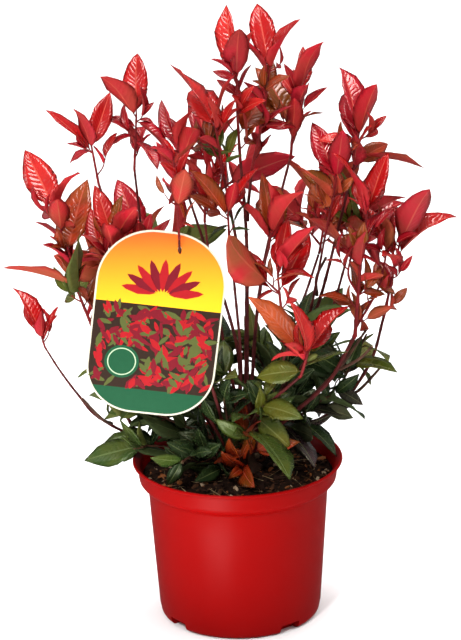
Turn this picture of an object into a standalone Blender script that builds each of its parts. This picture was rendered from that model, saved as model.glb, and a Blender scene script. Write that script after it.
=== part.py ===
"""Potted red tip photinia: a shrub of many red-tipped shoots in a red nursery pot.

Metres, +Z up, the pot standing on z = 0 with its axis on the origin, the front towards -Y.
The plan of the shoots below is in millimetres; every mesh is scaled to metres as it is made.
"""
import math
import random
from collections import namedtuple

import bmesh
import bpy
from mathutils import Matrix, Vector
from mathutils.bvhtree import BVHTree

MM = 0.001
GAP = 0.3
SEED = 41

# Pot: a three-litre nursery pot with water notches round its base
RIM_R = 95.0
POT_H = 149.0
BODY_TOP_R = 81.2
BODY_TOP = 125.6
BASE_R = 70.5
FLOOR = 2.0
NOTCHES = 4
NOTCH_TURN = 38.0
NOTCH_W = 18.0
NOTCH_H = 5.5

# Soil and the root crown that the stems spring from
SOIL_EDGE = 134.0
SOIL_TOP = 138.0
CROWN_AT = (5.0, 1.0)
CROWN_R = 12.0
CROWN_H = 26.0
CROWN_SIDES = 14

# Stems and twigs: sides and the length of their straight pieces
STEM_SIDES = 5
STEM_STEP = 38.0
TWIG_SIDES = 3
TWIG_STEP = 30.0
LIMB_ROOM = 0.35

# Leaf: width as a share of the length, thickness, and rise of each half from the rib
LEAF_W = 0.38
LEAF_T = 1.3
LEAF_FOLD = 0.22
LEAF_ROOM = 0.36
ROOT_SINK = 1.8
LONGEST = 88.0

# Planned leaves: how far apart they start at a tip, the rise that they are seen from, and the
# lean of each in turn towards the one who looks
TIP_LEAVES = 3
TIP_STEP = 3.0
SEEN_FROM = 19.0
LEANS = (-20.0, 38.0, 14.0, -14.0, 46.0, -32.0)
PARTNERS = 8

# Leaves by the rule: distance between them, and the angle that each is on from the last
RULE_STEP = 17.0
GOLDEN_ANGLE = 137.5

# Label card hung in front
CARD_AT = (-68.0, -80.0, 306.0)
CARD_W = 112.0
CARD_H = 168.0
CARD_T = 0.8
CARD_TILT = 8.0
CARD_ARCH = 0.44
CARD_CORNER = 42.0
SLOT_ROOM = 0.55

# Stems: name, what it grows from, radius at foot and tip, points that it passes through
STEMS = [
    ("top_middle", "trunk", 3.2, 1.5, [(10, -2, 205), (12, -8, 355), (8, -5, 427)]),
    ("top_right", "top_middle", 1.9, 1.4, [(11, -8, 348), (14, -2, 387), (18, 6, 417)]),
    ("top_left", "top_middle", 1.9, 1.3, [(11, -8, 311), (3, -12, 358), (-7, -20, 420)]),
    ("upper_left", "trunk", 2.2, 1.3, [(2, -20, 259), (-26, -32, 365), (-40, -35, 414)]),
    ("over_label", "trunk", 2.0, 1.1,
     [(-18, -48, 222), (-34, -62, 293), (-43, -66, 340), (-46, -80, 372), (-46, -88, 384)]),
    ("left_high", "trunk", 2.2, 1.2, [(-41, 2, 214), (-72, -15, 296), (-84, -30, 428)]),
    ("left_mid", "trunk", 2.1, 1.2, [(-33, -14, 205), (-73, -35, 301), (-114, -45, 419)]),
    ("low_shoot", "trunk", 2.2, 1.0,
     [(-38, 30, 158), (-85, 43, 152), (-125, 32, 177), (-158, 7, 233), (-169, 2, 255)]),
    ("left_out", "low_shoot", 2.0, 1.5,
     [(-85, 43, 152), (-92, 38, 160), (-107, 4, 208), (-126, -24, 284)]),
    ("left_inner", "trunk", 1.9, 1.2, [(-28, -34, 208), (-62, -46, 274), (-89, -52, 332)]),
    ("right_top", "trunk", 2.3, 1.4, [(14, 4, 202), (25, 10, 318), (52, 20, 423)]),
    ("middle_back", "right_top", 1.5, 1.2, [(18, 6, 292), (27, -14, 334), (31, -22, 352)]),
    ("right_high", "trunk", 2.4, 1.4, [(44, 12, 213), (75, 18, 286), (105, 14, 405)]),
    ("right_inner", "right_high", 1.7, 1.2, [(58, 14, 245), (69, 6, 290), (81, -2, 355)]),
    ("right_mid", "trunk", 2.5, 2.0, [(57, -16, 201), (84, -20, 229), (105, -22, 268)]),
    ("right_out", "trunk", 2.5, 1.5, [(48, 14, 161), (98, 14, 196), (122, 8, 236), (133, 5, 277)]),
    ("front_low", "trunk", 2.0, 1.5, [(13, -34, 193), (41, -66, 236), (55, -76, 252)]),
    ("middle_left", "trunk", 2.0, 1.3, [(4, -22, 231), (2, -36, 302), (-3, -45, 366)]),
    ("middle_low", "trunk", 2.0, 1.4, [(28, -30, 224), (47, -44, 271), (42, -48, 299)]),
    ("rear_left", "trunk", 1.9, 1.3, [(-34, 34, 205), (-62, 60, 254), (-74, 72, 286)]),
    ("rear_middle", "trunk", 2.0, 1.3, [(-8, 46, 230), (-20, 70, 296), (-25, 80, 346)]),
    ("rear_right", "trunk", 2.0, 1.3, [(36, 42, 220), (64, 70, 276), (78, 80, 314)]),
    ("rear_side", "trunk", 1.9, 1.3, [(50, 44, 200), (88, 66, 262), (104, 76, 312)]),
]

# Masses: name, the stem or crown that it grows on, and its shoots. A shoot is where on the first
# shoot it starts, points that it passes through, and its leaves from the tip down: tint, clock
# angle and length as seen from the front. A row with no tint leaves its place bare, and a shoot
# with no rows takes all its leaves by the rule.
MASSES = [
    ("top_middle", "top_middle", [
        (0.0, [(6, -4, 474), (6, -3, 505)], [
            ("k", -8, 68), ("c", 3, 47), ("s", 17, 50), ("c", -50, 25), ("k", 62, 28),
            ("b", 37, 74)]),
    ]),
    ("top_right", "top_right", [
        (0.0, [(29, 10, 466), (35, 12, 507)], [
            ("s", -9, 67), ("s", 26, 52), ("c", -33, 42), ("b", 12, 32), ("c", -48, 30),
            ("c", 32, 28)]),
    ]),
    ("top_left", "top_left", [
        (0.0, [(-13, -24, 464)], [
            ("k", -32, 74), ("s", -12, 32), ("s", 12, 58), ("s", 31, 40), ("c", -55, 22),
            ("v", -45, 25)]),
        (0.15, [(-19, -24, 452)], [("b", 0, 32)]),
    ]),
    ("upper_left", "upper_left", [
        (0.0, [(-46, -36, 452)], [
            ("c", -20, 47), ("s", 17, 40), ("s", 28, 26), ("c", -30, 30), ("k", 22, 38),
            ("k", -38, 34)]),
        (0.1, [(-26, -36, 399), (-14, -36, 389)], [
            ("k", -30, 42), ("s", -25, 35), ("k", 35, 20)]),
    ]),
    ("over_label", "over_label", [
        (0.0, [(-48, -84, 436), (-49, -80, 454)], [
            ("s", -25, 25), ("c", -50, 25), ("b", 40, 30), ("s", -30, 25), ("b", 15, 35)]),
    ]),
    ("left_high", "left_high", [
        (0.0, [(-81, -30, 480)], [
            ("s", 0, 60), ("s", -34, 50), ("c", 133, 45), ("c", -68, 28), ("c", 137, 34),
            ("c", 16, 32)]),
    ]),
    ("left_mid", "left_mid", [
        (0.0, [(-120, -45, 456)], [("s", 19, 53), ("c", -18, 42), ("s", -43, 56)]),
    ]),
    ("low_shoot", "low_shoot", [
        (0.0, [(-173, 0, 269)], [("s", -27, 55), ("c", 0, 28), ("s", 25, 30)]),
    ]),
    ("left_out", "left_out", [
        (0.0, [(-139, -30, 326), (-148, -34, 369), (-154, -34, 396)], [
            ("k", -26, 65), ("k", 25, 46), ("c", 0, 20), ("c", -46, 28), ("b", -2, 32),
            ("c", -48, 36), ("b", 14, 73), ("c", -42, 30), ("o", -36, 26), ("b", -73, 70),
            ("v", 1, 56), ("b", 33, 61)]),
    ]),
    ("left_inner", "left_inner", [
        (0.0, [(-111, -52, 348), (-114, -52, 361)], [
            ("s", -15, 45), ("c", -35, 30), ("c", 15, 25), ("k", 30, 40)]),
        (0.3, [(-102, -56, 357), (-104, -57, 377)], [
            ("k", -15, 50), ("s", 35, 40), ("b", 10, 45), ("k", 55, 30), ("s", -10, 40)]),
        (0.16, [(-81, -50, 350), (-79, -50, 365)], [("c", 15, 35), ("s", -5, 30), ("c", 35, 35)]),
    ]),
    ("right_top", "right_top", [
        (0.0, [(55, 20, 449), (61, 20, 483)], [
            ("s", 7, 45), ("s", 19, 55), ("c", -20, 35), ("k", -30, 35), ("c", 20, 30),
            ("b", 70, 30), ("b", -25, 72), ("s", 5, 42)]),
    ]),
    ("middle_back", "middle_back", [
        (0.0, [(33, -27, 368)], [
            ("b", -6, 58), ("k", 30, 54), ("s", -36, 48), ("b", 12, 52), ("s", 3, 50)]),
    ]),
    ("right_high", "right_high", [
        (0.0, [(109, 12, 422), (112, 10, 445)], [
            ("c", -9, 72), ("s", 17, 53), ("k", -82, 38), ("c", -25, 35), ("k", 29, 24),
            ("b", 97, 66), ("b", 62, 38), ("c", 5, 35)]),
    ]),
    ("right_inner", "right_inner", [
        (0.0, [(89, -4, 395), (92, -5, 412)], [
            ("c", -22, 57), ("c", 8, 46), ("s", 20, 40), ("b", -60, 36), ("o", -45, 44),
            ("o", -22, 40), ("k", 25, 30)]),
    ]),
    ("right_mid", "right_mid", [
        (0.0, [(112, -22, 339), (118, -22, 385)], [
            ("s", 20, 59), ("s", -25, 64), ("k", -18, 48), ("c", 32, 36), ("c", 5, 36),
            ("b", -8, 36)]),
        (0.35, [(101, -20, 326), (104, -20, 347)], [("b", -48, 54), ("c", 20, 30), ("c", 0, 30)]),
        (0.08, [(128, -6, 309), (136, -4, 344)], [("k", -22, 46), ("b", -10, 42), ("c", 2, 36)]),
    ]),
    ("right_out", "right_out", [
        (0.0, [(145, 2, 336), (148, 2, 349)], [
            ("s", 29, 57), ("c", 25, 60), ("s", -4, 42), ("s", 52, 73), ("s", -20, 34),
            ("c", -20, 26), ("b", -14, 42)]),
    ]),
    ("front_low", "front_low", [
        (0.0, [(63, -82, 277)], [
            ("s", 40, 60), ("k", -13, 50), ("o", -41, 76), ("s", -86, 34), ("s", -42, 28),
            ("v", 71, 44), ("v", -95, 44)]),
    ]),
    ("middle_left", "middle_left", [
        (0.0, [(-4, -46, 396)], [("s", 35, 50), ("s", 15, 30), ("b", -35, 55), ("d", -120, 25)]),
    ]),
    ("middle_low", "middle_low", [
        (0.0, [(40, -50, 315), (38, -52, 343)], [
            ("s", 13, 50), ("s", 38, 54), ("k", 22, 36), ("s", 29, 64)]),
        (0.5, [(30, -54, 332)], [("s", -40, 50), ("b", -46, 62)]),
    ]),
    ("green_front", "trunk", [
        (0.0, [(13, -48, 199), (22, -60, 222)], [
            ("g", -49, 58), ("v", 105, 40), ("d", -20, 30), ("v", 133, 46), ("g", 141, 56),
            ("g", -69, 43), ("b", -98, 34)]),
    ]),
    ("green_right", "trunk", [
        (0.0, [(23, 0, 172), (58, 4, 253), (61, 2, 276)], [
            ("d", 20, 38), ("g", 68, 48), ("d", -40, 28), ("d", 75, 35), ("d", -100, 26),
            ("d", -82, 34), ("d", -15, 34)]),
    ]),
    ("green_right_low", "trunk", [
        (0.0, [(28, 6, 162), (62, 10, 187), (92, 8, 212), (118, 6, 262)], [
            ("", 0, 0), ("", 0, 0), ("", 0, 0), ("", 0, 0), ("v", 100, 40), ("d", -12, 36),
            ("p", 116, 30), ("d", 111, 44), ("p", 104, 32), ("d", 127, 52), ("p", 140, 44),
            ("d", 150, 38)]),
    ]),
    ("green_left", "trunk", [
        (0.0, [(-10, 0, 163), (-51, 4, 180), (-93, 0, 201)], [
            ("g", -106, 26), ("g", -130, 22), ("v", -62, 22), ("d", -140, 22), ("d", -40, 24),
            ("d", -62, 28)]),
        (0.7, [(-112, 6, 240)], [("v", -111, 36)]),
    ]),
    ("green_left_low", "trunk", [
        (0.0, [(-34, -30, 164), (-50, -58, 168)], [
            ("d", -149, 28), ("g", -82, 30), ("d", -55, 24), ("d", -62, 30), ("d", -20, 30)]),
    ]),
    ("green_rim_left", "trunk", [
        (0.0, [(-12, -6, 154), (-50, 0, 159), (-84, 2, 161)], [
            ("g", -103, 60), ("v", -20, 26), ("d", 30, 24)]),
    ]),
    ("green_centre", "trunk", [
        (0.0, [(-6, -26, 179), (-14, -42, 239)], [
            ("g", 8, 48), ("v", 38, 40), ("d", -115, 25), ("d", -95, 25), ("d", 40, 35),
            ("d", -130, 20)]),
    ]),
    ("rear_left", "rear_left", [
        (0.0, [(-84, 80, 326)], []),
        (0.15, [(-106, 76, 300)], []),
        (0.35, [(-58, 94, 316)], []),
    ]),
    ("rear_middle", "rear_middle", [
        (0.0, [(-22, 88, 404)], []),
        (0.15, [(-42, 106, 374)], []),
        (0.3, [(8, 108, 384)], []),
    ]),
    ("rear_right", "rear_right", [
        (0.0, [(88, 92, 366)], []),
        (0.15, [(62, 112, 338)], []),
        (0.3, [(112, 90, 344)], []),
    ]),
    ("rear_side", "rear_side", [
        (0.0, [(118, 82, 350)], []),
        (0.2, [(92, 104, 342)], []),
    ]),
    ("green_rear_left", "trunk", [
        (0.0, [(-30, 30, 178), (-64, 58, 204), (-84, 72, 238)], []),
        (0.55, [(-24, 72, 224)], []),
    ]),
    ("green_rear_right", "trunk", [
        (0.0, [(34, 34, 178), (58, 62, 204), (72, 80, 232)], []),
        (0.55, [(16, 78, 222)], []),
    ]),
]

Leaf = namedtuple("Leaf", "root ahead face length width bend tint")
Twig = namedtuple("Twig", "run start end leaves")


def clear_scene():
    for item in list(bpy.data.objects):
        bpy.data.objects.remove(item, do_unlink=True)


def collection(name):
    made = bpy.data.collections.new(name)
    bpy.context.scene.collection.children.link(made)
    return made


def material(name, colour, rough):
    mat = bpy.data.materials.new(name)
    mat.use_nodes = True
    mat.diffuse_color = (*colour, 1.0)
    shader = mat.node_tree.nodes["Principled BSDF"]
    shader.inputs["Base Color"].default_value = (*colour, 1.0)
    shader.inputs["Roughness"].default_value = rough
    shader.inputs["Metallic"].default_value = 0.0
    return mat


def place(name, bm, home, mat=None):
    """Object of a bmesh in millimetres, in metres."""
    bm.transform(Matrix.Scale(MM, 4))
    mesh = bpy.data.meshes.new(name)
    bm.to_mesh(mesh)
    bm.free()
    item = bpy.data.objects.new(name, mesh)
    home.objects.link(item)
    if mat:
        mesh.materials.append(mat)
    return item


def tree_of(item):
    """Search tree of an object's mesh, in the plan's millimetres."""
    bm = bmesh.new()
    bm.from_mesh(item.data)
    bm.transform(Matrix.Scale(1 / MM, 4))
    tree = BVHTree.FromBMesh(bm)
    bm.free()
    return tree


def bake(item):
    """Apply the modifiers of an object."""
    view = bpy.context.view_layer
    view.update()
    done = bpy.data.meshes.new_from_object(item.evaluated_get(view.depsgraph))
    done.name = item.name
    item.modifiers.clear()
    item.data = done


def cut(item, tool, operation, solver="EXACT"):
    step = item.modifiers.new("step", "BOOLEAN")
    step.operation = operation
    step.solver = solver
    if isinstance(tool, bpy.types.Collection):
        step.operand_type = "COLLECTION"
        step.collection = tool
    else:
        step.object = tool
    bake(item)


def hide_cutter(tool):
    tool.hide_render = True
    tool.display_type = "WIRE"


def turned(name, profile, steps, home, mat):
    """Solid of revolution about Z, its profile at +X running down the outer side."""
    bm = bmesh.new()
    points = [bm.verts.new((x, 0.0, z)) for x, z in profile]
    for first, second in zip(points, points[1:]):
        bm.edges.new((first, second))
    item = place(name, bm, home, mat)
    turn = item.modifiers.new("turn", "SCREW")
    turn.axis = "Z"
    turn.steps = steps
    turn.render_steps = steps
    turn.use_merge_vertices = True
    turn.merge_threshold = 0.00005
    bake(item)
    bm = bmesh.new()
    bm.from_mesh(item.data)
    bmesh.ops.remove_doubles(bm, verts=bm.verts, dist=0.00001)
    bmesh.ops.recalc_face_normals(bm, faces=bm.faces)
    bm.to_mesh(item.data)
    bm.free()
    return item


def ring_of_boxes(name, size, radius, height, home):
    """One box for each notch, round the pot's foot."""
    bm = bmesh.new()
    for k in range(NOTCHES):
        turn = Matrix.Rotation(math.radians(NOTCH_TURN + 360.0 * k / NOTCHES - 90.0), 4, "Z")
        place_at = turn @ Matrix.Translation((radius, 0.0, height))
        bmesh.ops.create_cube(bm, size=1.0, matrix=place_at @ Matrix.Diagonal((*size, 1.0)))
    return place(name, bm, home)


def make_pot(home, cutters, mat):
    """Turned shell with a rolled rim and a shoulder, the notches pocketed on the inside."""
    outer = [(93.6, POT_H), (RIM_R, POT_H - 0.9), (94.3, POT_H - 2.2), (90.2, POT_H - 5.6),
             (89.0, 131.5), (87.0, 128.6), (BODY_TOP_R, BODY_TOP), (73.3, 11.0), (72.0, 3.2),
             (BASE_R, 0.0), (0.0, 0.0)]
    inner = [(0.0, FLOOR), (BASE_R - 1.2, FLOOR), (BASE_R + 0.6, 5.2), (71.8, 12.2),
             (BODY_TOP_R - 1.6, BODY_TOP), (82.6, 128.6), (86.6, 131.4), (87.6, POT_H - 7.0),
             (92.2, POT_H - 0.8)]
    pot = turned("pot", inner + outer, 36, home, mat)
    height = NOTCH_H + 2.0
    pockets = ring_of_boxes("pockets", (13.0, NOTCH_W + 5.0, height), BASE_R - 4.9,
                            height / 2 + 0.4, cutters)
    cut(pot, pockets, "UNION")
    notches = ring_of_boxes("notches", (12.0, NOTCH_W, height), BASE_R - 2.6,
                            height / 2 - 2.0, cutters)
    cut(pot, notches, "DIFFERENCE")
    hide_cutter(pockets)
    hide_cutter(notches)
    return pot


def make_soil(home, cutters, mat):
    """Filling of the pot, a gap clear of its wall and pockets, slightly heaped."""
    inside = [(0.0, SOIL_TOP), (24.0, SOIL_TOP), (56.0, SOIL_TOP - 1.6), (86.1, SOIL_EDGE),
              (85.6, 131.5), (81.9, 128.9), (BODY_TOP_R - 2.35, BODY_TOP + 0.2), (71.1, 12.2),
              (BASE_R - 0.2, 5.4), (BASE_R - 2.0, FLOOR + GAP), (0.0, FLOOR + GAP)]
    soil = turned("soil", inside, 24, home, mat)
    height = NOTCH_H + 2.0
    tools = ring_of_boxes("soil_pockets", (14.4, NOTCH_W + 6.4, height + 1.6), BASE_R - 4.9,
                          height / 2 + 0.4, cutters)
    cut(soil, tools, "DIFFERENCE")
    hide_cutter(tools)
    return soil


def frames(points):
    """Matrices along a path, each with its Z along the path and as little twist as can be."""
    last = len(points) - 1
    side = Vector((0.9, 0.37, 0.21))
    found = []
    for k, point in enumerate(points):
        ahead = (points[min(k + 1, last)] - points[max(k - 1, 0)]).normalized()
        side = (side - ahead * side.dot(ahead)).normalized()
        turn = Matrix((side, ahead.cross(side), ahead)).transposed().to_4x4()
        found.append(Matrix.Translation(point) @ turn)
    return found


def spline(points, step):
    """Smooth run through the points, about a step apart."""
    points = [Vector(point) for point in points]
    run = [2 * points[0] - points[1]] + points + [2 * points[-1] - points[-2]]
    found = []
    for a, b, c, d in zip(run, run[1:], run[2:], run[3:]):
        count = max(1, round((c - b).length / step))
        for k in range(count):
            t = k / count
            found.append(0.5 * (2 * b + (c - a) * t + (2 * a - 5 * b + 4 * c - d) * t * t
                                + (3 * b - a - 3 * c + d) * t ** 3))
    return found + [points[-1].copy()]


def length_of(run):
    return sum((b - a).length for a, b in zip(run, run[1:]))


def along(run, share):
    """Point at a share of a path's length."""
    left = share * length_of(run)
    for a, b in zip(run, run[1:]):
        step = (b - a).length
        if left <= step:
            return a.lerp(b, left / step)
        left -= step
    return run[-1].copy()


def direction(run, share):
    ahead = along(run, min(1.0, share + 0.05)) - along(run, max(0.0, share - 0.05))
    return ahead.normalized()


def sweep(run, start, end, sides):
    """Closed limb along a path, tapering from its start to its end radius, in millimetres."""
    radii = [start + (end - start) * k / (len(run) - 1) for k in range(len(run))]
    return sweep_rings(run, radii, sides)


def sweep_rings(run, radii, sides):
    bm = bmesh.new()
    places = frames(run)
    made = bmesh.ops.create_circle(bm, cap_ends=True, radius=radii[0], segments=sides,
                                   matrix=places[0])
    cap = made["verts"][0].link_faces[0]
    for k in range(1, len(run)):
        grown = bmesh.ops.extrude_face_region(bm, geom=[cap])["geom"]
        if k > 1:
            bmesh.ops.delete(bm, geom=[cap], context="FACES_ONLY")
        cap = next(item for item in grown if isinstance(item, bmesh.types.BMFace))
        move = places[k] @ Matrix.Scale(radii[k] / radii[k - 1], 4) @ places[k - 1].inverted()
        bmesh.ops.transform(bm, matrix=move, verts=cap.verts)
    bmesh.ops.recalc_face_normals(bm, faces=bm.faces)
    return bm


def crown_radius(height):
    """Radius of the root crown at a height over the soil: a flare, then a slow taper."""
    flare = 0.5 * math.exp(-height / 3.2)
    return CROWN_R * (1.0 - 0.22 * height / CROWN_H + flare)


def crown_axis(height):
    """Centre of the root crown at a height over the soil; it leans a little from its foot."""
    lean = max(height - 2.0, 0.0)
    return Vector((CROWN_AT[0] - 0.05 * lean, CROWN_AT[1] + 0.04 * lean,
                   SOIL_TOP + GAP + height))


class Limbs:
    """What has been grown so far, each piece with its owner's name, to keep new pieces clear."""

    def __init__(self):
        self.trees = []
        self.known = {}

    def add(self, owner, tree):
        self.trees.append((owner, tree))

    def keep(self, name, run, end, tree):
        """Remember a limb that others can grow on."""
        self.add(name, tree)
        self.known[name] = (run, end, tree)

    def touches(self, tree, *skip):
        return any(owner not in skip and other.overlap(tree) for owner, other in self.trees)

    def fits(self, run, start, end, sides, parent):
        """Whether a limb is a gap clear of all but its parent, which it only mustn't touch."""
        for margin, skip in ((LIMB_ROOM, parent), (GAP / 3, None)):
            bm = sweep(run, start + margin, end + margin, sides)
            tree = BVHTree.FromBMesh(bm)
            bm.free()
            if self.touches(tree, skip) and (skip or parent in self.known):
                return False
        return True

    def clear_start(self, run, radius, tree):
        """Path whose start is moved along until it stands a gap off its parent."""
        length = length_of(run)
        start = 0.0
        while start < 0.4 * length:
            spot = along(run, start / length)
            ahead = (along(run, (start + 2.0) / length) - spot).normalized()
            side = ahead.orthogonal().normalized() * radius
            rim = [spot + Matrix.Rotation(math.tau * k / 12, 3, ahead) @ side for k in range(12)]
            near = [(point, *tree.find_nearest(point)) for point in [spot] + rim]
            if all((point - at).dot(normal) > 0.0 and distance > GAP + 0.02
                   for point, at, normal, _, distance in near):
                break
            start += 0.12
        trimmed = [along(run, start / length)]
        gone = 0.0
        for a, b in zip(run, run[1:]):
            gone += (b - a).length
            if gone > start + 2.5:
                trimmed.append(b.copy())
        return trimmed

    def from_crown(self, points, start, end, step, sides, low):
        """Limb off the root crown, at the first free foot near its own side."""
        aim = math.atan2(points[0][1] - CROWN_AT[1], points[0][0] - CROWN_AT[0])
        crown = self.known["trunk"][2]
        for shift in (0.0, 5.0, -5.0, 10.0, -10.0, 16.0, -16.0):
            for height in ((6.0, 12.0, 18.0, 23.0) if low else (19.0, 12.5, 24.0, 6.5)):
                for turn in (0, 14, -14, 28, -28, 44, -44, 62, -62, 84, -84):
                    angle = aim + math.radians(turn)
                    out = Vector((math.cos(angle), math.sin(angle), 0.0))
                    foot = crown_axis(height) + out * (crown_radius(height) - 1.0)
                    away = foot + out * 8.0 + Vector((0.0, 0.0, 2.5 if low else 5.0))
                    rest = [Vector(point) for point in points]
                    rest[0].y += shift
                    run = self.clear_start(spline([foot, away] + rest, step), start, crown)
                    if self.fits(run, start, end, sides, "trunk"):
                        return run
        return None

    def from_limb(self, points, start, end, step, sides, parent):
        """Limb off another limb, bowed in depth until it's clear of the rest."""
        path, _, tree = self.known[parent]
        target = Vector(points[0])
        near = min((along(path, k / 60) for k in range(61)), key=lambda p: (p - target).length)
        for bow in (0, 4, -4, 8, -8, 12, -12, 18, -18):
            rest = [Vector(point) for point in points[1:]]
            for point in rest[:-1]:
                point.y += bow
            run = self.clear_start(spline([near] + rest, step), start, tree)
            if self.fits(run, start, end, sides, parent):
                return run
        return None

    def from_tip(self, points, end, parent):
        """First shoot of a mass, a gap off the tip of its stem and in line with it."""
        path, start, _ = self.known[parent]
        ahead = (path[-1] - path[-2]).normalized()
        foot = path[-1] + ahead * GAP
        for bow in (0, 4, -4, 8, -8, 13, -13):
            rest = [Vector(point) + Vector((0.0, bow, 0.0)) for point in points]
            run = spline([foot, foot + ahead * 2.5] + rest, TWIG_STEP)
            if self.fits(run, start, end, TWIG_SIDES, parent):
                return run
        return None

    def from_shoot(self, points, start, end, first, share, owner):
        """Side shoot of a mass, rooted in its first shoot."""
        root = along(first, share)
        rest = [Vector(point) for point in points if (root - Vector(point)).length > 6.0]
        rest = rest or [root + Vector((0.0, -3.0, 8.0))]
        for bow in (0, 5, -5, 10, -10, 15, -15, 21, -21):
            moved = [point + Vector((0.0, bow, 0.0)) for point in rest]
            run = spline([root] + moved, TWIG_STEP)
            if self.fits(run, start, end, TWIG_SIDES, owner):
                return run
        return None


def leaf_point(leaf, share, across, lift):
    """Point of a leaf: share of its length, millimetres across, and lift off its face."""
    half = math.radians(leaf.bend) / 2
    slope = half - 2 * half * share
    if abs(half) < 0.01:
        forward, rise = leaf.length * share, 0.0
    else:
        forward = leaf.length / (2 * half) * (math.sin(half) - math.sin(slope))
        rise = leaf.length / (2 * half) * (math.cos(slope) - math.cos(half))
    up = leaf.face * math.cos(slope) - leaf.ahead * math.sin(slope)
    side = leaf.ahead.cross(leaf.face)
    return leaf.root + leaf.ahead * forward + leaf.face * rise + side * across + up * lift


def leaf_solid(leaf, margin=0.0):
    """Folded blade of 8 faces; a margin makes it larger all round, to test its room."""
    width = leaf.width / 2 + margin
    thick = LEAF_T / 2 + margin
    fold = LEAF_FOLD * width
    edge = [(0.0, 0.0, 0.0), (0.47, width, fold), (1.0, 0.0, 0.0), (0.47, -width, fold)]
    points = [leaf_point(leaf, *corner) for corner in edge]
    points += [leaf_point(leaf, 0.38, 0.0, thick), leaf_point(leaf, 0.38, 0.0, -thick)]
    faces = [(4, k, (k + 1) % 4) for k in range(4)] + [(5, (k + 1) % 4, k) for k in range(4)]
    return points, faces


def blade_tree(leaf):
    """Search tree of the outer part of a leaf, past where the leaves of a shoot meet."""
    root = leaf_point(leaf, 0.3, 0.0, 0.0)
    outer = leaf._replace(root=root, length=leaf.length * 0.7, width=leaf.width * 0.9)
    return BVHTree.FromPolygons(*leaf_solid(outer, GAP))


def leaf_at(run, share, ahead, twist, length, width, bend, tint):
    """Leaf on a shoot, its upper face towards the shoot's own axis, twisted by some degrees."""
    axis = direction(run, share)
    face = axis - ahead * axis.dot(ahead)
    if face.length < 0.1:
        face = Vector((0.0, -1.0, 0.0)) + ahead * ahead.y
    face = Matrix.Rotation(math.radians(twist), 3, ahead) @ face.normalized()
    root = along(run, share) - ahead * ROOT_SINK
    return Leaf(root, ahead, face, length, length * width, bend, tint)


def planned_leaf(run, row, index, count, rng):
    """Leaf of the plan: the first few at the tip, the rest down the shoot at even steps."""
    tint, clock, seen = row
    if index < TIP_LEAVES:
        share = 1.0 - index * TIP_STEP / length_of(run)
    else:
        share = 1.0 - 0.9 * (index - TIP_LEAVES + 1) / (count - TIP_LEAVES + 1)
    clock = math.radians(clock)
    lean = math.radians(LEANS[index % len(LEANS)] + rng.uniform(-6.0, 6.0))
    length = min(seen / math.cos(lean), LONGEST)
    sine, cosine = math.sin(math.radians(SEEN_FROM)), math.cos(math.radians(SEEN_FROM))
    up = Vector((0.0, sine, cosine))
    near = Vector((0.0, -cosine, sine))
    flat = Vector((1.0, 0.0, 0.0)) * math.sin(clock) + up * math.cos(clock)
    ahead = flat * math.cos(lean) + near * math.sin(lean)
    width = LEAF_W * rng.uniform(0.94, 1.06)
    return leaf_at(run, max(share, 0.04), ahead, rng.uniform(-50.0, 50.0), length, width,
                   rng.uniform(2.0, 22.0), tint)


def partner_leaf(leaf, rng):
    """Smaller leaf from the same place, out towards the back."""
    ahead = leaf.ahead
    back = Vector((ahead.x, abs(ahead.y) * 0.5 + rng.uniform(0.6, 1.3), ahead.z)).normalized()
    face = Vector((0.0, -1.0, 0.4))
    face = (face - back * face.dot(back)).normalized()
    scale = rng.uniform(0.78, 0.95)
    return leaf._replace(root=leaf.root + (ahead - back) * ROOT_SINK, ahead=back, face=face,
                         length=leaf.length * scale, width=leaf.width * scale,
                         bend=rng.uniform(6.0, 24.0))


def rule_leaf(run, share, index, rng):
    """Leaf of the rule: each a golden angle on round the shoot, opening less near the tip."""
    axis = direction(run, share)
    turn = math.radians(GOLDEN_ANGLE * index) + rng.uniform(-0.3, 0.3)
    side = Matrix.Rotation(turn, 3, axis) @ axis.orthogonal().normalized()
    opening = math.radians(rng.uniform(34.0, 62.0) - 16.0 * share)
    ahead = axis * math.cos(opening) + side * math.sin(opening)
    tint = tint_for(along(run, share).z, rng)
    return leaf_at(run, share, ahead, 0.0, rng.uniform(56.0, 74.0), LEAF_W,
                   rng.uniform(8.0, 32.0), tint)


def tint_for(height, rng):
    """Tint by height: red young leaves at the top, green old ones low down."""
    share = (height - 190.0) / 260.0 + rng.uniform(-0.2, 0.2)
    for limit, tint in ((0.12, "d"), (0.26, "g"), (0.40, "v"), (0.56, "b"), (0.8, "c")):
        if share < limit:
            return tint
    return "s"


def fitted(leaf, limbs, owner, blades):
    """Leaf leant until it's clear, best of its own mass's blades too, or none where that fails."""
    base = leaf.root + leaf.ahead * ROOT_SINK
    hinge = leaf.ahead.cross(Vector((0.0, 1.0, 0.0)))
    if hinge.length < 0.2:
        hinge = Vector((1.0, 0.0, 0.0))
    hinge.normalize()
    second = None
    for lean in (0, 9, -9, 18, -18, 27, -27, 38, -38):
        turn = Matrix.Rotation(math.radians(lean), 3, hinge)
        ahead = turn @ leaf.ahead
        tried = leaf._replace(root=base - ahead * ROOT_SINK, ahead=ahead, face=turn @ leaf.face)
        points, faces = leaf_solid(tried, LEAF_ROOM)
        low = any(point.z < SOIL_TOP + 2.0 and math.hypot(point.x, point.y) < RIM_R
                  for point in points)
        if low or limbs.touches(BVHTree.FromPolygons(points, faces), owner):
            continue
        blade = blade_tree(tried)
        if not any(other.overlap(blade) for other in blades):
            return tried
        second = second or tried
    return second


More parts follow.
